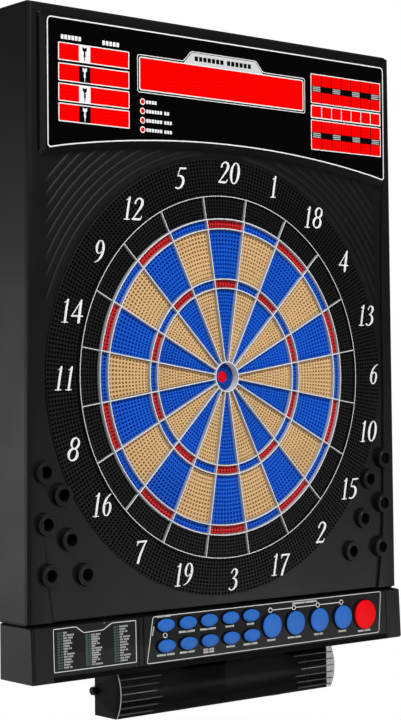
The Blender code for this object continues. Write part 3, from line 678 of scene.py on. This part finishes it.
def add_stroke(shape, points, to_board, front, back):
    """A flat raised stroke with round ends."""
    path = smooth_stroke([[value / 1000.0 for value in point] for point in points])
    last = len(path) - 1
    closed = dist(path[0][:2], path[last][:2]) < 0.001
    left, right = [], []
    for i, (x, z, w) in enumerate(path):
        ahead, behind = path[min(i + 1, last)], path[max(i - 1, 0)]
        if closed and i in (0, last):
            ahead, behind = path[1], path[last - 1]
        along = Vector((ahead[0] - behind[0], ahead[1] - behind[1])).normalized()
        left.append((x - along.y * w, z + along.x * w))
        right.append((x + along.y * w, z - along.x * w))
    for (l0, r0), (l1, r1) in zip(zip(left, right), zip(left[1:], right[1:])):
        quad = [to_board(*p) for p in (r0, r1, l1, l0)]
        near, far = at_depth(quad, front), at_depth(quad, back)
        shape.face(near)
        for p, q in ((0, 1), (2, 3)):
            shape.face([near[p], far[p], far[q], near[q]])
    for x, z, w in () if closed else (path[0], path[-1]):
        cap = [to_board(*p) for p in circle(w, x, z, 12)]
        shape.loft([at_depth(cap, front - 0.00001), at_depth(cap, back)])


def numbers():
    """The twenty numbers, upright round the ring, in an italic hand with thick and thin strokes."""
    for index, number in enumerate(NUMBERS):
        shape = Shape()
        x, _, z = spot(FIGURE_RADIUS, index * SECTOR_ANGLE + FIGURE_TURN, 0.0)
        nudge_x, nudge_z = FIGURE_NUDGE.get(number, (0, 0))
        middle_x = x + FIGURE_SHIFT[0] + 0.001 * nudge_x
        middle_z = z + FIGURE_SHIFT[1] + 0.001 * nudge_z
        text = str(number)
        advances = [0.5 * FIGURE_STRETCH[figure] + FIGURE_SPACE for figure in text]
        pen = middle_x - 0.5 * FIGURE_HEIGHT * (sum(advances) - FIGURE_SPACE)
        for figure, advance in zip(text, advances):
            for order, stroke in enumerate(FIGURES[figure]):
                def to_board(x, z, start=pen, stretch=FIGURE_STRETCH[figure]):
                    high = z - 0.5
                    lean = FIGURE_SLANT * high
                    return start + (stretch * x + lean) * FIGURE_HEIGHT, middle_z + high * FIGURE_HEIGHT
                add_stroke(shape, stroke, to_board, FACE - 0.0004 - 0.00002 * order, FACE + 0.0002)
            pen += advance * FIGURE_HEIGHT
        piece(f"number_{number:02d}", shape, [WHITE], "ring_black", turn_out=False)


# ---- display
def on_lens(outline, proud):
    """The outline laid on the display's lens, a distance in front of it."""
    return at_depth(outline, LENS - proud)


POD_SLANT = 0.0061  # how far the pod's walls lean out
POD = (0.2766, 0.4186, 0.2889, 1.531)  # half width, top, crown of the arch and its radius


def pod_outline(inset, corner=0.006):
    """The display pod's outline, moved in, with its arched lower edge."""
    half, top, crown, arch = POD
    side = half - inset
    base = [side * (2.0 * i / 24 - 1.0) for i in range(25)]
    base = [(x, crown + inset - x * x / (2.0 * arch)) for x in base]
    base[0] = (base[0][0] + 0.5 * corner, base[0][1])
    base[-1] = (base[-1][0] - 0.5 * corner, base[-1][1])
    low = crown + inset - side * side / (2.0 * arch)
    upper = []
    for step in range(5):
        angle = radians(22.5 * step)
        upper.append((side - corner + corner * cos(angle), top - inset - corner + corner * sin(angle)))
    right = [(side, low + 0.5 * corner)] + upper
    left = [(-x, z) for x, z in reversed(right)]
    return base + right + left


MARKS = 0.004  # radius of a status lamp's white ring
ROWS = ((0.3684, 0.3885), (0.3443, 0.3644), (0.3208, 0.3408), (0.2971, 0.3176))
SCORE_X = (-0.2596, -0.2305, -0.214, -0.157)  # small window, symbol and score window


def words(shape, x, z, height, letters, pitch, thick=INK):
    """A line of greeked print: plain blocks in place of letters, in words of so many blocks each."""
    for count in letters:
        for _ in range(count):
            slab(shape, rectangle(x, x + 0.76 * pitch, z, z + height), thick)
            x += pitch
        x += 0.6 * pitch


def dart_symbol(shape, x, z, thick):
    """A small plain dart, point down, which stands between the windows."""
    tall = 0.0082
    low, high = z - 0.45 * tall, z + 0.2 * tall
    slab(shape, [(x - 0.0005, z - tall), (x + 0.0005, z - tall), (x + 0.0008, z + 0.3 * tall),
                 (x - 0.0008, z + 0.3 * tall)], thick)
    barrel = [(x - 0.0015, low), (x + 0.0015, low), (x + 0.0011, high), (x - 0.0011, high)]
    slab(shape, rounded(barrel, 0.0005, 3), thick + 0.1 * INK)
    slab(shape, [(x, high), (x + 0.003, z + 0.48 * tall), (x + 0.003, z + tall), (x, z + 0.8 * tall),
                 (x - 0.003, z + tall), (x - 0.003, z + 0.48 * tall)], thick + 0.2 * INK)


def player_rows(lines, marks, reds, blacks):
    """Four rows: a small window, a symbol and a score window in one printed frame."""
    xa, xb, xc, xd = SCORE_X
    for row, (z0, z1) in enumerate(ROWS):
        slab(reds, rectangle(xa, xb, z0, z1))
        slab(reds, rectangle(xc, xd, z0, z1))
        ground, figure = (blacks, marks) if row % 2 else (marks, blacks)
        slab(ground, rectangle(xb, xc, z0, z1))
        dart_symbol(figure, 0.5 * (xb + xc), 0.5 * (z0 + z1), 2.0 * INK)
        border = rounded(offset(rectangle(xa, xd, z0, z1), -0.0006), 0.0012)
        frame_line(lines, border, 0.0012, 1.8 * INK)
    words(marks, -0.2561, 0.3928, 0.0052, (6,), 0.005)
    words(marks, -0.1962, 0.3925, 0.0052, (5,), 0.0052)


def message_window(lines, marks, reds, blacks, tabs):
    """The long window, its double frame and the tab that rises from the outer line."""
    outer = [(-0.1442, 0.342), (0.1312, 0.342), (0.1312, 0.388), (0.0585, 0.388), (0.0465, 0.4012),
             (-0.0605, 0.4012), (-0.0722, 0.388), (-0.1442, 0.388)]
    frame_line(lines, rounded(outer, 0.0035), 0.0009)
    frame_line(lines, rounded(rectangle(-0.1414, 0.1284, 0.3446, 0.3854), 0.0034), 0.0014)
    slab(reds, rounded(rectangle(-0.14, 0.127, 0.346, 0.384), 0.0028), 0.8 * INK)
    slab(tabs, [(-0.0722, 0.3852), (0.059, 0.3852), (0.0452, 0.3994), (-0.0592, 0.3994)], 1.5 * INK)
    words(blacks, -0.0545, 0.3896, 0.0058, (7, 6), 0.0069, 2.0 * INK)


def status_lamps(marks, reds):
    """Four red lamps in white rings, each with a line of print."""
    for row, letters in enumerate(((4,), (6, 2), (6, 3), (6, 3))):
        z = 0.3312 - 0.01125 * row
        slab(marks, circle(MARKS, -0.1365, z, 24))
        slab(reds, circle(0.0027, -0.1365, z, 24), 3.0 * INK)
        words(marks, -0.1309, z - 0.002, 0.004, letters, 0.0042)


def count_windows(lines, marks, reds, blacks, greys):
    """Windows that count the marks: two tall blocks with a striped band, and a row of small cells."""
    columns = 7
    x0, x1 = 0.1428, 0.269
    pitch = (x1 - x0) / columns
    for low, high in ((0.3582, 0.3946), (0.2974, 0.3343)):
        band = 0.5 * (low + high) - 0.0003
        slab(reds, rectangle(x0, x1, low, high))
        slab(blacks, rectangle(x0, x1, band - 0.004, band + 0.004), 2.0 * INK)
        for column in range(1, columns):
            x = x0 + column * pitch
            slab(blacks, rectangle(x - 0.0005, x + 0.0005, low, high), 1.6 * INK)
        for column in range(0, columns, 2):
            for k in range(3):
                z = band + (k - 1) * 0.0023
                slab(greys, rectangle(x0 + (column + 0.12) * pitch, x0 + (column + 0.88) * pitch,
                                      z - 0.0007, z + 0.0007), 2.6 * INK)
        frame_line(lines, rounded(offset(rectangle(x0, x1, low, high), -0.0013), 0.0012), 0.0011, 1.2 * INK)
    slab(lines, rounded(rectangle(x0 - 0.0013, x1 + 0.0013, 0.3376, 0.3551), 0.0012), 0.8 * INK)
    for column in range(columns):
        left = x0 + column * pitch + (0.0006 if column else 0.0002)
        slab(reds, rectangle(left, x0 + (column + 1) * pitch - 0.0006, 0.3391, 0.3536), 1.6 * INK)


def pod_sides():
    """The pod's sloping walls, painted darker as shade, with painted highlights along creases at its
    corners.
    """
    walls, crease_highlights = Shape(), Shape()
    top, foot = LOW["display_lens"].y + 0.003, HOUSING

    def wall(near, far):
        return [at_depth(pod_outline(near), top), at_depth(pod_outline(near - POD_SLANT), foot),
                at_depth(pod_outline(far - POD_SLANT), foot), at_depth(pod_outline(far), top)]

    for i, j in ((25, 26), (35, 36)):
        walls.loft([[loop[k] for loop in wall(-0.0002, 0.0008)] for k in (i, j)])
    proud, sunk = wall(-0.0005, 0.0006)[:2], wall(-0.0005, 0.0006)[:1:-1]
    for corner in ((36, 0), (24, 25), (27, 28), (32, 33)):
        crease_highlights.loft([[near[i] for i in corner] + [far[i] for i in reversed(corner)]
                      for near, far in zip(proud, sunk)])
    piece("pod_walls", walls, [SHADE_BLACK], "housing_black", angle=50.0)
    piece("pod_crease_highlights", crease_highlights, [CREASE_HIGHLIGHT], "housing_black", angle=50.0)


def display():
    """The windows and the printing on the pod's lens."""
    lines, marks, tabs, reds, blacks, greys = (Shape(on_lens) for _ in range(6))
    frame_line(lines, pod_outline(0.0008), 0.0015)
    player_rows(lines, marks, reds, blacks)
    message_window(lines, marks, reds, blacks, tabs)
    status_lamps(marks, reds)
    count_windows(lines, marks, reds, blacks, greys)
    for name, shape, material, slot in (
            ("display_lines", lines, WHITE, "lens_black"), ("display_marks", marks, WHITE, "lens_black"),
            ("message_tab", tabs, TAB_GREY, "lens_black"), ("display_windows", reds, WINDOW, "display_red"),
            ("display_darks", blacks, WINDOW_BLACK, "lens_black"),
            ("display_stripes", greys, GREY_AND_EDGE_SHEEN, "lens_black")):
        piece(name, shape, [material], slot)


# ---- bar and buttons
OVALS = [f"option_button_{i:02d}" for i in range(1, 11)]
ROUNDS = [f"game_button_{i}" for i in range(1, 5)]
BUTTON_FLANGE = 0.0016  # how far the CAD button's hidden flange stands out


def middle(node):
    """The x and z of a node's middle."""
    return 0.5 * (LOW[node].x + HIGH[node].x), 0.5 * (LOW[node].z + HIGH[node].z)


def button_size(node):
    """Half a button's height, and its width over its height."""
    low, high = LOW[node], HIGH[node]
    half_z = 0.5 * (high.z - low.z) - BUTTON_FLANGE
    return half_z, (0.5 * (high.x - low.x) - BUTTON_FLANGE) / half_z


def button(node, colour, side, slot):
    """A crowned push button with a softened edge."""
    x, z = middle(node)
    half_z, stretch = button_size(node)
    face, back = LOW[node].y, HIGH[node].y
    crown = 0.0009
    stages = [(1.0, back), (1.0, face + 0.0022)]
    for step in range(1, 6):
        angle = radians(18.0 * step)
        inset = 0.0016 / half_z * (1.0 - cos(angle))
        stages.append((1.0 - inset, face + 0.0022 - 0.0013 * sin(angle)))
    for share in (0.75, 0.5, 0.25, 0.08):
        stages.append((share, face + crown * share * share))
    shape = Shape()
    loops = [at_depth(circle(half_z * s, x, z, 48, stretch), y) for s, y in stages]
    # The straight side wears the darker side material: painted shade.
    shape.skin(*loops[:2], 1)
    shape.skins(loops[1:])
    shape.face(loops[0], 1)
    shape.face(loops[-1][::-1])
    piece(f"{node}_cap", shape, [colour, side], slot, node, body=node, angle=40.0)


def buttons():
    """The fifteen buttons, each ringed with painted shade where it stands in its well."""
    shade_rings = Shape(on_bar)
    for node in OVALS + ROUNDS + ["start_button"]:
        if node == "start_button":
            button(node, BUTTON_RED, RED_SIDE_SHADE, "button_red")
        else:
            button(node, BUTTON_BLUE, NAVY_SHADE, "button_blue")
        x, z = middle(node)
        half_z, stretch = button_size(node)
        slab(shade_rings, circle(half_z + 0.0013, x, z, 40, stretch), 0.6 * INK)
    piece("button_shade_rings", shade_rings, [PAINTED_SHADE], "housing_black")


GAME_WORDS = ((3,), (6,), (4, 2), (3, 4), (5,), (2, 6), (7,))


def list_panel(lines, marks, codes):
    """The list of games: three columns of greeked print in a notched frame."""
    notch = [(-0.2714, -0.3404), (-0.1516, -0.3402), (-0.1504, -0.2902), (-0.1866, -0.29),
             (-0.1997, -0.2969), (-0.2275, -0.2976), (-0.2385, -0.2898), (-0.271, -0.2903)]
    frame_line(lines, rounded(notch, 0.0016), 0.0009)
    rows = 14
    for column, (x, top) in enumerate(((-0.2655, -0.2945), (-0.2255, -0.3005), (-0.184, -0.2945))):
        pitch = (top + 0.3375) / rows
        for row in range(rows):
            z = top - pitch * (row + 0.5) - 0.0007
            style = (5 * row + 3 * column) % 7
            words(codes, x, z, 0.0019, (3, 2), 0.0013)
            words(marks, x + 0.0085, z, 0.002, GAME_WORDS[style], 0.0018)


def label(marks, x, z, width, lines=1):
    """Greeked print centred under a button."""
    pitch = 0.002
    for line in range(lines):
        count = max(3, round(width / pitch))
        letters = (count,) if count < 8 else (count // 2, count - count // 2 - 1)
        words(marks, x - 0.5 * width, z - 0.0012 - 0.0032 * line, 0.0024, letters, pitch)


def bar_graphics():
    """Printed frames, rings and greeked labels on the control bar."""
    lines, marks, codes, darks, names, grounds = (Shape(on_bar) for _ in range(6))
    slab(grounds, rectangle(-0.2712, -0.1508, -0.3402, -0.2972), 0.3 * INK)
    list_panel(lines, names, codes)
    corners = [(-0.1365, -0.3442), (0.258, -0.3426), (0.2646, -0.2881), (-0.125, -0.2884)]
    frame_line(lines, rounded(corners, 0.0035), 0.0009)
    slab(grounds, rounded(corners, 0.0035), 0.3 * INK)
    slab(grounds, [(-0.15, -0.3442), (-0.1372, -0.3442), (-0.1256, -0.2884), (-0.1496, -0.2884)], 0.3 * INK)
    piece("bar_grounds", grounds, [RING_BLACK], "housing_black")

    widths = (0.024, 0.026, 0.026, 0.014, 0.011, 0.027, 0.025, 0.018, 0.014, 0.025)
    for i, (node, width) in enumerate(zip(OVALS, widths)):
        x, z = middle(node)
        if i:
            label(marks, x, z - 0.0107, width, 2 if i == 7 else 1)
    label(marks, -0.107, -0.2893, 0.022)
    label(marks, 0.125, -0.2915, 0.044)
    for node, width in zip(ROUNDS, (0.014, 0.025, 0.016, 0.014)):
        x, z = middle(node)
        label(marks, x, z - 0.0182, width)
    x, z = middle("start_button")
    label(marks, x, z - 0.0212, 0.024)
    for step in range(5):
        slab(marks, rectangle(-0.1273 + 0.0006 * step, -0.1256 + 0.0006 * step,
                              -0.311 + 0.0022 * step, -0.3094 + 0.0022 * step))

    lamps = [(-0.107, -0.3124)] + [(middle(node)[0], -0.2968) for node in ROUNDS]
    for x, z in lamps:
        slab(darks, circle(0.0024, x, z, 20), 2.0 * INK)
        frame_line(lines, circle(0.0034, x, z, 24), 0.0011, 2.4 * INK)
    for (xa, za), (xb, _) in zip(lamps[1:], lamps[2:]):
        slab(lines, rectangle(xa + 0.0034, xb - 0.0034, za - 0.0005, za + 0.0005))
    slab(names, circle(0.0007, -0.1975, -0.2893, 12))

    for name, shape, material in (("bar_lines", lines, FRAME_GREY), ("bar_labels", marks, TAB_GREY),
                                  ("game_names", names, GREY_AND_EDGE_SHEEN), ("game_codes", codes, PRINT_GREEN),
                                  ("bar_lamps", darks, WINDOW_BLACK)):
        piece(name, shape, [material], "housing_black")


def bar_relief():
    """Raised end blocks, and painted shade for the chin below the panels and for two grooves between them.
    """
    ends, shade_strips = Shape(on_bar), Shape(on_bar)
    soft = 0.0008
    for side in (-1, 1):
        block = rectangle(*sorted((side * 0.2722, side * 0.2978)), BAR_LOW + soft, BAR_TOP - soft)
        ends.loft([on_bar(offset(block, soft), soft), on_bar(block, 0.2 * soft), on_bar(block, -0.0004)])
    for x, wide in ((-0.1482, 0.0016), (-0.1408, 0.002)):
        low, high = x - 0.0006, x + 0.0006
        slab(shade_strips, [(low, -0.345), (low + wide, -0.345), (high + wide, -0.288), (high, -0.288)])
    section = ((-0.3452, 0.0), (-0.3455, 0.0011), (-0.3462, 0.0013), (BAR_LOW + 0.0006, -0.0002))
    shade_strips.loft([[(x, bar_front(z) - proud, z) for z, proud in section] for x in (-0.2712, 0.2712)])
    piece("bar_end_blocks", ends, [BLACK], "housing_black")
    piece("bar_chin_shade", shade_strips, [PAINTED_SHADE], "housing_black")


# ---- housing
HOLDERS = ((0.2776, -0.1102, -0.0643), (0.2513, -0.1376, -0.062), (0.2756, -0.1704, -0.0643),
           (0.2406, -0.1898, -0.062), (0.2711, -0.2295, -0.0643), (0.2182, -0.232, -0.062))  # x, z, front


def dart_holders():
    """Stepped round collars of the twelve dart holders, their bores lined with painted shade."""
    shape = Shape()
    for side in (-1, 1):
        for x, z, front in HOLDERS:
            profile = ((0.0072, HOUSING + 0.002), (0.0072, front + 0.0002), (0.0077, front - 0.0006),
                       (0.0098, front - 0.0006), (0.0104, front), (0.0106, front + 0.003),
                       (0.0131, front + 0.0012), (0.0134, front + 0.002), (0.0134, HOUSING + 0.001))
            bore_shade = ((0.0074, front + 0.001), (0.007, front + 0.001), (0.007, HOUSING + 0.008),
                     (0.0074, HOUSING + 0.008))
            lathe(shape, profile, side * x, z, 40, closed=True)
            lathe(shape, bore_shade, side * x, z, 40, closed=True, ink=1)
    piece("dart_holders", shape, [BLACK, PAINTED_SHADE], "housing_black", angle=40.0)


def corner_ridges():
    """Soft concentric ribs in the corners between the number ring and the display pod, each with a dark
    line of painted groove shade beside it.
    """
    shape = Shape()
    _, _, crown, arch = POD
    profile = ((-0.0044, -0.0003), (-0.004, 0.0001), (0.0, 0.0002), (0.004, 0.0001), (0.0044, -0.0003))
    groove = ((-0.0007, -0.0003), (-0.0005, 0.0002), (0.0005, 0.0002), (0.0007, -0.0003))
    for side in (-1, 1):
        for ring in range(8):
            radius = 0.2818 + 0.0098 * ring
            angles = []
            for step in range(181):
                angle = radians(0.5 * step)
                x, z = radius * sin(angle), radius * cos(angle)
                if z < crown - 0.0085 - x * x / (2.0 * arch) and x < 0.269 and z > 0.05:
                    angles.append(side * angle)
            if len(angles) < 4:
                continue
            section = []
            for i, a in enumerate(angles):
                fade = min(1.0, 0.15 + 0.25 * min(i, len(angles) - 1 - i))
                section.append([spot(radius + u, a, HOUSING - lift * fade) for u, lift in profile])
            shape.loft(section)
            shape.loft([[spot(radius + 0.0049 + u, a, HOUSING - lift) for u, lift in groove]
                        for a in angles[2:-2]], ink=1)
    piece("corner_ridges", shape, [RING_BLACK, GROOVE_SHADE], "housing_black", angle=60.0)


def side_bands():
    """Borders raised over the housing's face, rounded outside and with a sharp step inside."""
    shape = Shape()
    outer = ((-0.284, 0.3008), (0.432, 0.296))
    inner = ((-0.284, 0.267), (-0.2571, 0.2711), (-0.23, 0.2745), (-0.1992, 0.2769), (-0.1187, 0.2791),
             (-0.0266, 0.2804), (0.0887, 0.2795), (0.2042, 0.2808), (0.276, 0.284), (0.432, 0.284))
    for side in (-1, 1):
        sections = []
        for z, near in inner:
            share = (z - outer[0][0]) / (outer[1][0] - outer[0][0])
            far = outer[0][1] + (outer[1][1] - outer[0][1]) * share
            points = [(far - 0.0001, HOUSING + 0.0036), (far - 0.0004, HOUSING + 0.002)]
            for step in range(1, 9):
                angle = radians(11.25 * step)
                points.append((far - 0.0004 - 0.0046 * (1.0 - cos(angle)),
                               HOUSING + 0.002 - 0.005 * sin(angle)))
            points += [(near + 0.0003, HOUSING - BAND), (near, HOUSING - BAND + 0.0004),
                       (near, HOUSING + 0.001)]
            sections.append([(side * x, y, z) for x, y in points])
        shape.loft(sections)
        # A dark strip at the foot of the inner step: painted shadow.
        seam_shade = [[(side * (near - 0.0044), HOUSING - 0.0002, z), (side * near, HOUSING - 0.0002, z),
                 (side * near, HOUSING + 0.0004, z), (side * (near - 0.0044), HOUSING + 0.0004, z)]
                for z, near in inner[:4]]
        shape.loft(seam_shade, ink=1)
    piece("side_bands", shape, [BLACK, GROOVE_SHADE], "housing_black", angle=50.0)


def rear_screws():
    """Cross-headed screws that hold the rear cover; their crosses and a ring round each head are painted
    shade.
    """
    shape = Shape()
    spots = [(x, z) for x in (-0.284, 0.0, 0.284) for z in (0.418, -0.278)]
    spots += [(x, z) for x in (-0.284, 0.284) for z in (0.186, -0.046)] + [(-0.12, 0.3), (0.12, 0.3)]
    for x, z in spots:
        lathe(shape, ((0.0052, -0.0001), (0.0052, 0.0002)), x, z, 24, ink=1)
        lathe(shape, ((0.0042, -0.0001), (0.0042, 0.0005), (0.0036, 0.0008)), x, z, 24)
        for wide, high, proud in ((0.0026, 0.0005, 0.0009), (0.0005, 0.0026, 0.00092)):
            bar = rectangle(x - wide, x + wide, z - high, z + high)
            shape.loft([at_depth(bar, y) for y in (0.0002, proud)], ink=1)
    piece("rear_screws", shape, [GREY_AND_EDGE_SHEEN, PAINTED_SHADE], "housing_black")


# ---- dart store
COVER_RADII = (0.0524, 0.0503)
COVER_ARC = (28.0, -33.0)  # degrees above and below straight forward


def polar(radius, degrees):
    """A (y, z) point about the cover's pivot; zero degrees is straight forward."""
    angle = radians(degrees)
    return (PIVOT[0] - radius * cos(angle), PIVOT[1] + radius * sin(angle))


def extrude(shape, profile, x0, x1, ink=0):
    """Draw a (y, z) profile along the board's width."""
    shape.loft([[(x, y, z) for y, z in profile] for x in (x0, x1)], ink=ink)


def curved_wall(outer, inner, angles):
    """A profile between two arcs about the pivot."""
    return [polar(outer, a) for a in angles] + [polar(inner, a) for a in reversed(angles)]


def cover():
    """Smoked cover with ribs moulded on both halves of its curved front, the ribs painted paler as sheen.
    """
    radius, inner = COVER_RADII
    high, low = COVER_ARC
    end = HIGH["storage_cover"].x
    plate = 0.0018
    steps = 36
    angles = [high + (low - high) * i / steps for i in range(steps + 1)]
    shape = Shape()
    extrude(shape, curved_wall(radius, inner, angles), -end, end)
    turn = high - low - 180.0
    eye = [polar(0.0065, low - 90.0 + turn * i / 16) for i in range(17)]
    wedge = [polar(inner + 0.0005, a) for a in angles] + eye
    for side in (-1, 1):
        extrude(shape, wedge, side * end, side * (end - plate))
    ribs = Shape()
    count = 6
    for row in range(count):
        angle = high - 8.0 + (low - high + 14.0) * row / (count - 1)
        rib = [polar(radius - 0.0003, angle + 0.8), polar(radius + 0.0007, angle + 0.4),
               polar(radius + 0.0007, angle - 0.4), polar(radius - 0.0003, angle - 0.8)]
        reach = 0.005 * (row % 3)
        extrude(ribs, rib, -end + 0.002, -0.112 - reach)
        extrude(ribs, rib, 0.106 + reach, end - 0.002)
    # Pale lines along both end rims: painted highlight.
    for side in (-1, 1):
        arc = curved_wall(radius + 0.0004, radius - 0.0004, angles)
        extrude(ribs, arc, side * end, side * (end - 0.0007), ink=1)
    piece("storage_cover_ribs", ribs, [COVER_RIB_SHEEN, GREY_AND_EDGE_SHEEN], "cover_smoke", body="storage_cover",
          angle=30.0)
    for x in (-0.077, 0.077):
        tab = [polar(radius - 0.0005, low + 0.4), polar(radius + 0.0015, low + 0.6),
               polar(radius + 0.0015, low + 2.6), polar(radius - 0.0005, low + 3.2)]
        extrude(shape, tab, x - 0.008, x + 0.008)
    piece("storage_cover_shell", shape, [SMOKE], "cover_smoke", "storage_cover", body="storage_cover",
          angle=30.0)


# ---- carried-over CAD nodes
CAD_LOOKS = ((BLACK, "front_housing rear_cover control_housing backing_plate"),
             (SHADE_BLACK, "storage_bin"), (LENS_BLACK, "display_lens"), (FILM, "matrix_film"),
             (WINDOW, "score_display message_display cricket_display"),
             (BOARD, "display_board keypad_board main_board"), (RUBBER, "keypad_mat rubber_mat"),
             (RING_BLACK, "speaker power_jack cover_pivot_left cover_pivot_right"))


def dress_cad():
    """Materials, and softened edges, for the CAD nodes that stay."""
    for material, nodes in CAD_LOOKS:
        for node in nodes.split():
            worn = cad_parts[node].data.materials
            worn.clear()
            worn.append(material)
    for node in ("front_housing", "control_housing", "rear_cover", "storage_bin"):
        bevel(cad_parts[node], 0.0006)


# ---- studio
ROOM_LIGHT = 0.1  # what the white room gives; the camera sees it as white
FLOOR = (2.6, -1.0)  # radius and height
LIGHTS = (("key", (-0.25, -2.4, 2.2), (0, 0, 0), 1.3, 84.0),
          ("low fill", (1.75, -2.0, -1.1), (0, 0, -0.3), 1.0, 22.0),
          ("side", (-1.9, 1.6, -0.2), (-0.3, 0, 0.0), 1.3, 13.0),
          ("left", (-2.7, -0.8, 0.5), (-0.3, 0, 0.1), 1.0, 8.0),
          ("back", (1.2, 2.4, 1.6), (0, 0, 0), 2.0, 60.0))  # name, place, target, size, watts
CAMERA_AT = (-1.444, -1.7446, -0.019)
CAMERA_TURN = ((-39.76, "Z"), (91.04, "X"), (-0.46, "Z"))  # heading, tilt and roll
FOCAL_LENGTH = 88.54  # mm


def light(name, location, target, size, power):
    """A round soft light, turned towards its target."""
    lamp = bpy.data.lights.new(name, "AREA")
    lamp.shape = "DISK"
    lamp.size = size
    lamp.energy = power
    obj = add_object(name, lamp)
    obj.location = location
    obj.rotation_euler = (Vector(target) - Vector(location)).to_track_quat("-Z", "Y").to_euler()


def studio():
    """A pale floor, a white room and soft lights."""
    floor = Shape()
    floor.loft([[(x, y, z) for x, y in circle(FLOOR[0], steps=96)] for z in (FLOOR[1], FLOOR[1] - 0.02)])
    mesh = floor.mesh("floor", [plastic("floor", (0.8, 0.8, 0.8), 0.7, grain=60.0, bump=0.02, shift=0.01)])
    fix_normals(mesh)
    add_object("floor", mesh)

    world = bpy.data.worlds.new("white room")
    world.use_nodes = True
    tree = world.node_tree
    background = put(tree.nodes["Background"], Color=(1.0, 1.0, 1.0, 1.0))
    strength = put(tree.nodes.new("ShaderNodeMapRange"), To_Min=ROOM_LIGHT, To_Max=1.0)
    join(tree, (tree.nodes.new("ShaderNodeLightPath"), "Is Camera Ray", strength, "Value"),
         (strength, "Result", background, "Strength"))
    bpy.context.scene.world = world
    for lamp in LIGHTS:
        light(*lamp)


def camera():
    """The camera, to the left of the board's middle and turned towards it."""
    data = bpy.data.cameras.new("camera")
    data.lens = FOCAL_LENGTH
    obj = add_object("camera", data)
    pose = Matrix.Translation(CAMERA_AT)
    for degrees, axis in CAMERA_TURN:
        pose = pose @ Matrix.Rotation(radians(degrees), 4, axis)
    obj.matrix_world = pose
    bpy.context.scene.camera = obj
    bpy.context.scene.view_settings.view_transform = "Standard"


camera()
studio()
dress_cad()
scoring_keys()
black_rings()
spider()
bulls()
numbers()
display()
buttons()
bar_graphics()
bar_relief()
dart_holders()
corner_ridges()
side_bands()
rear_screws()
pod_sides()
cover()
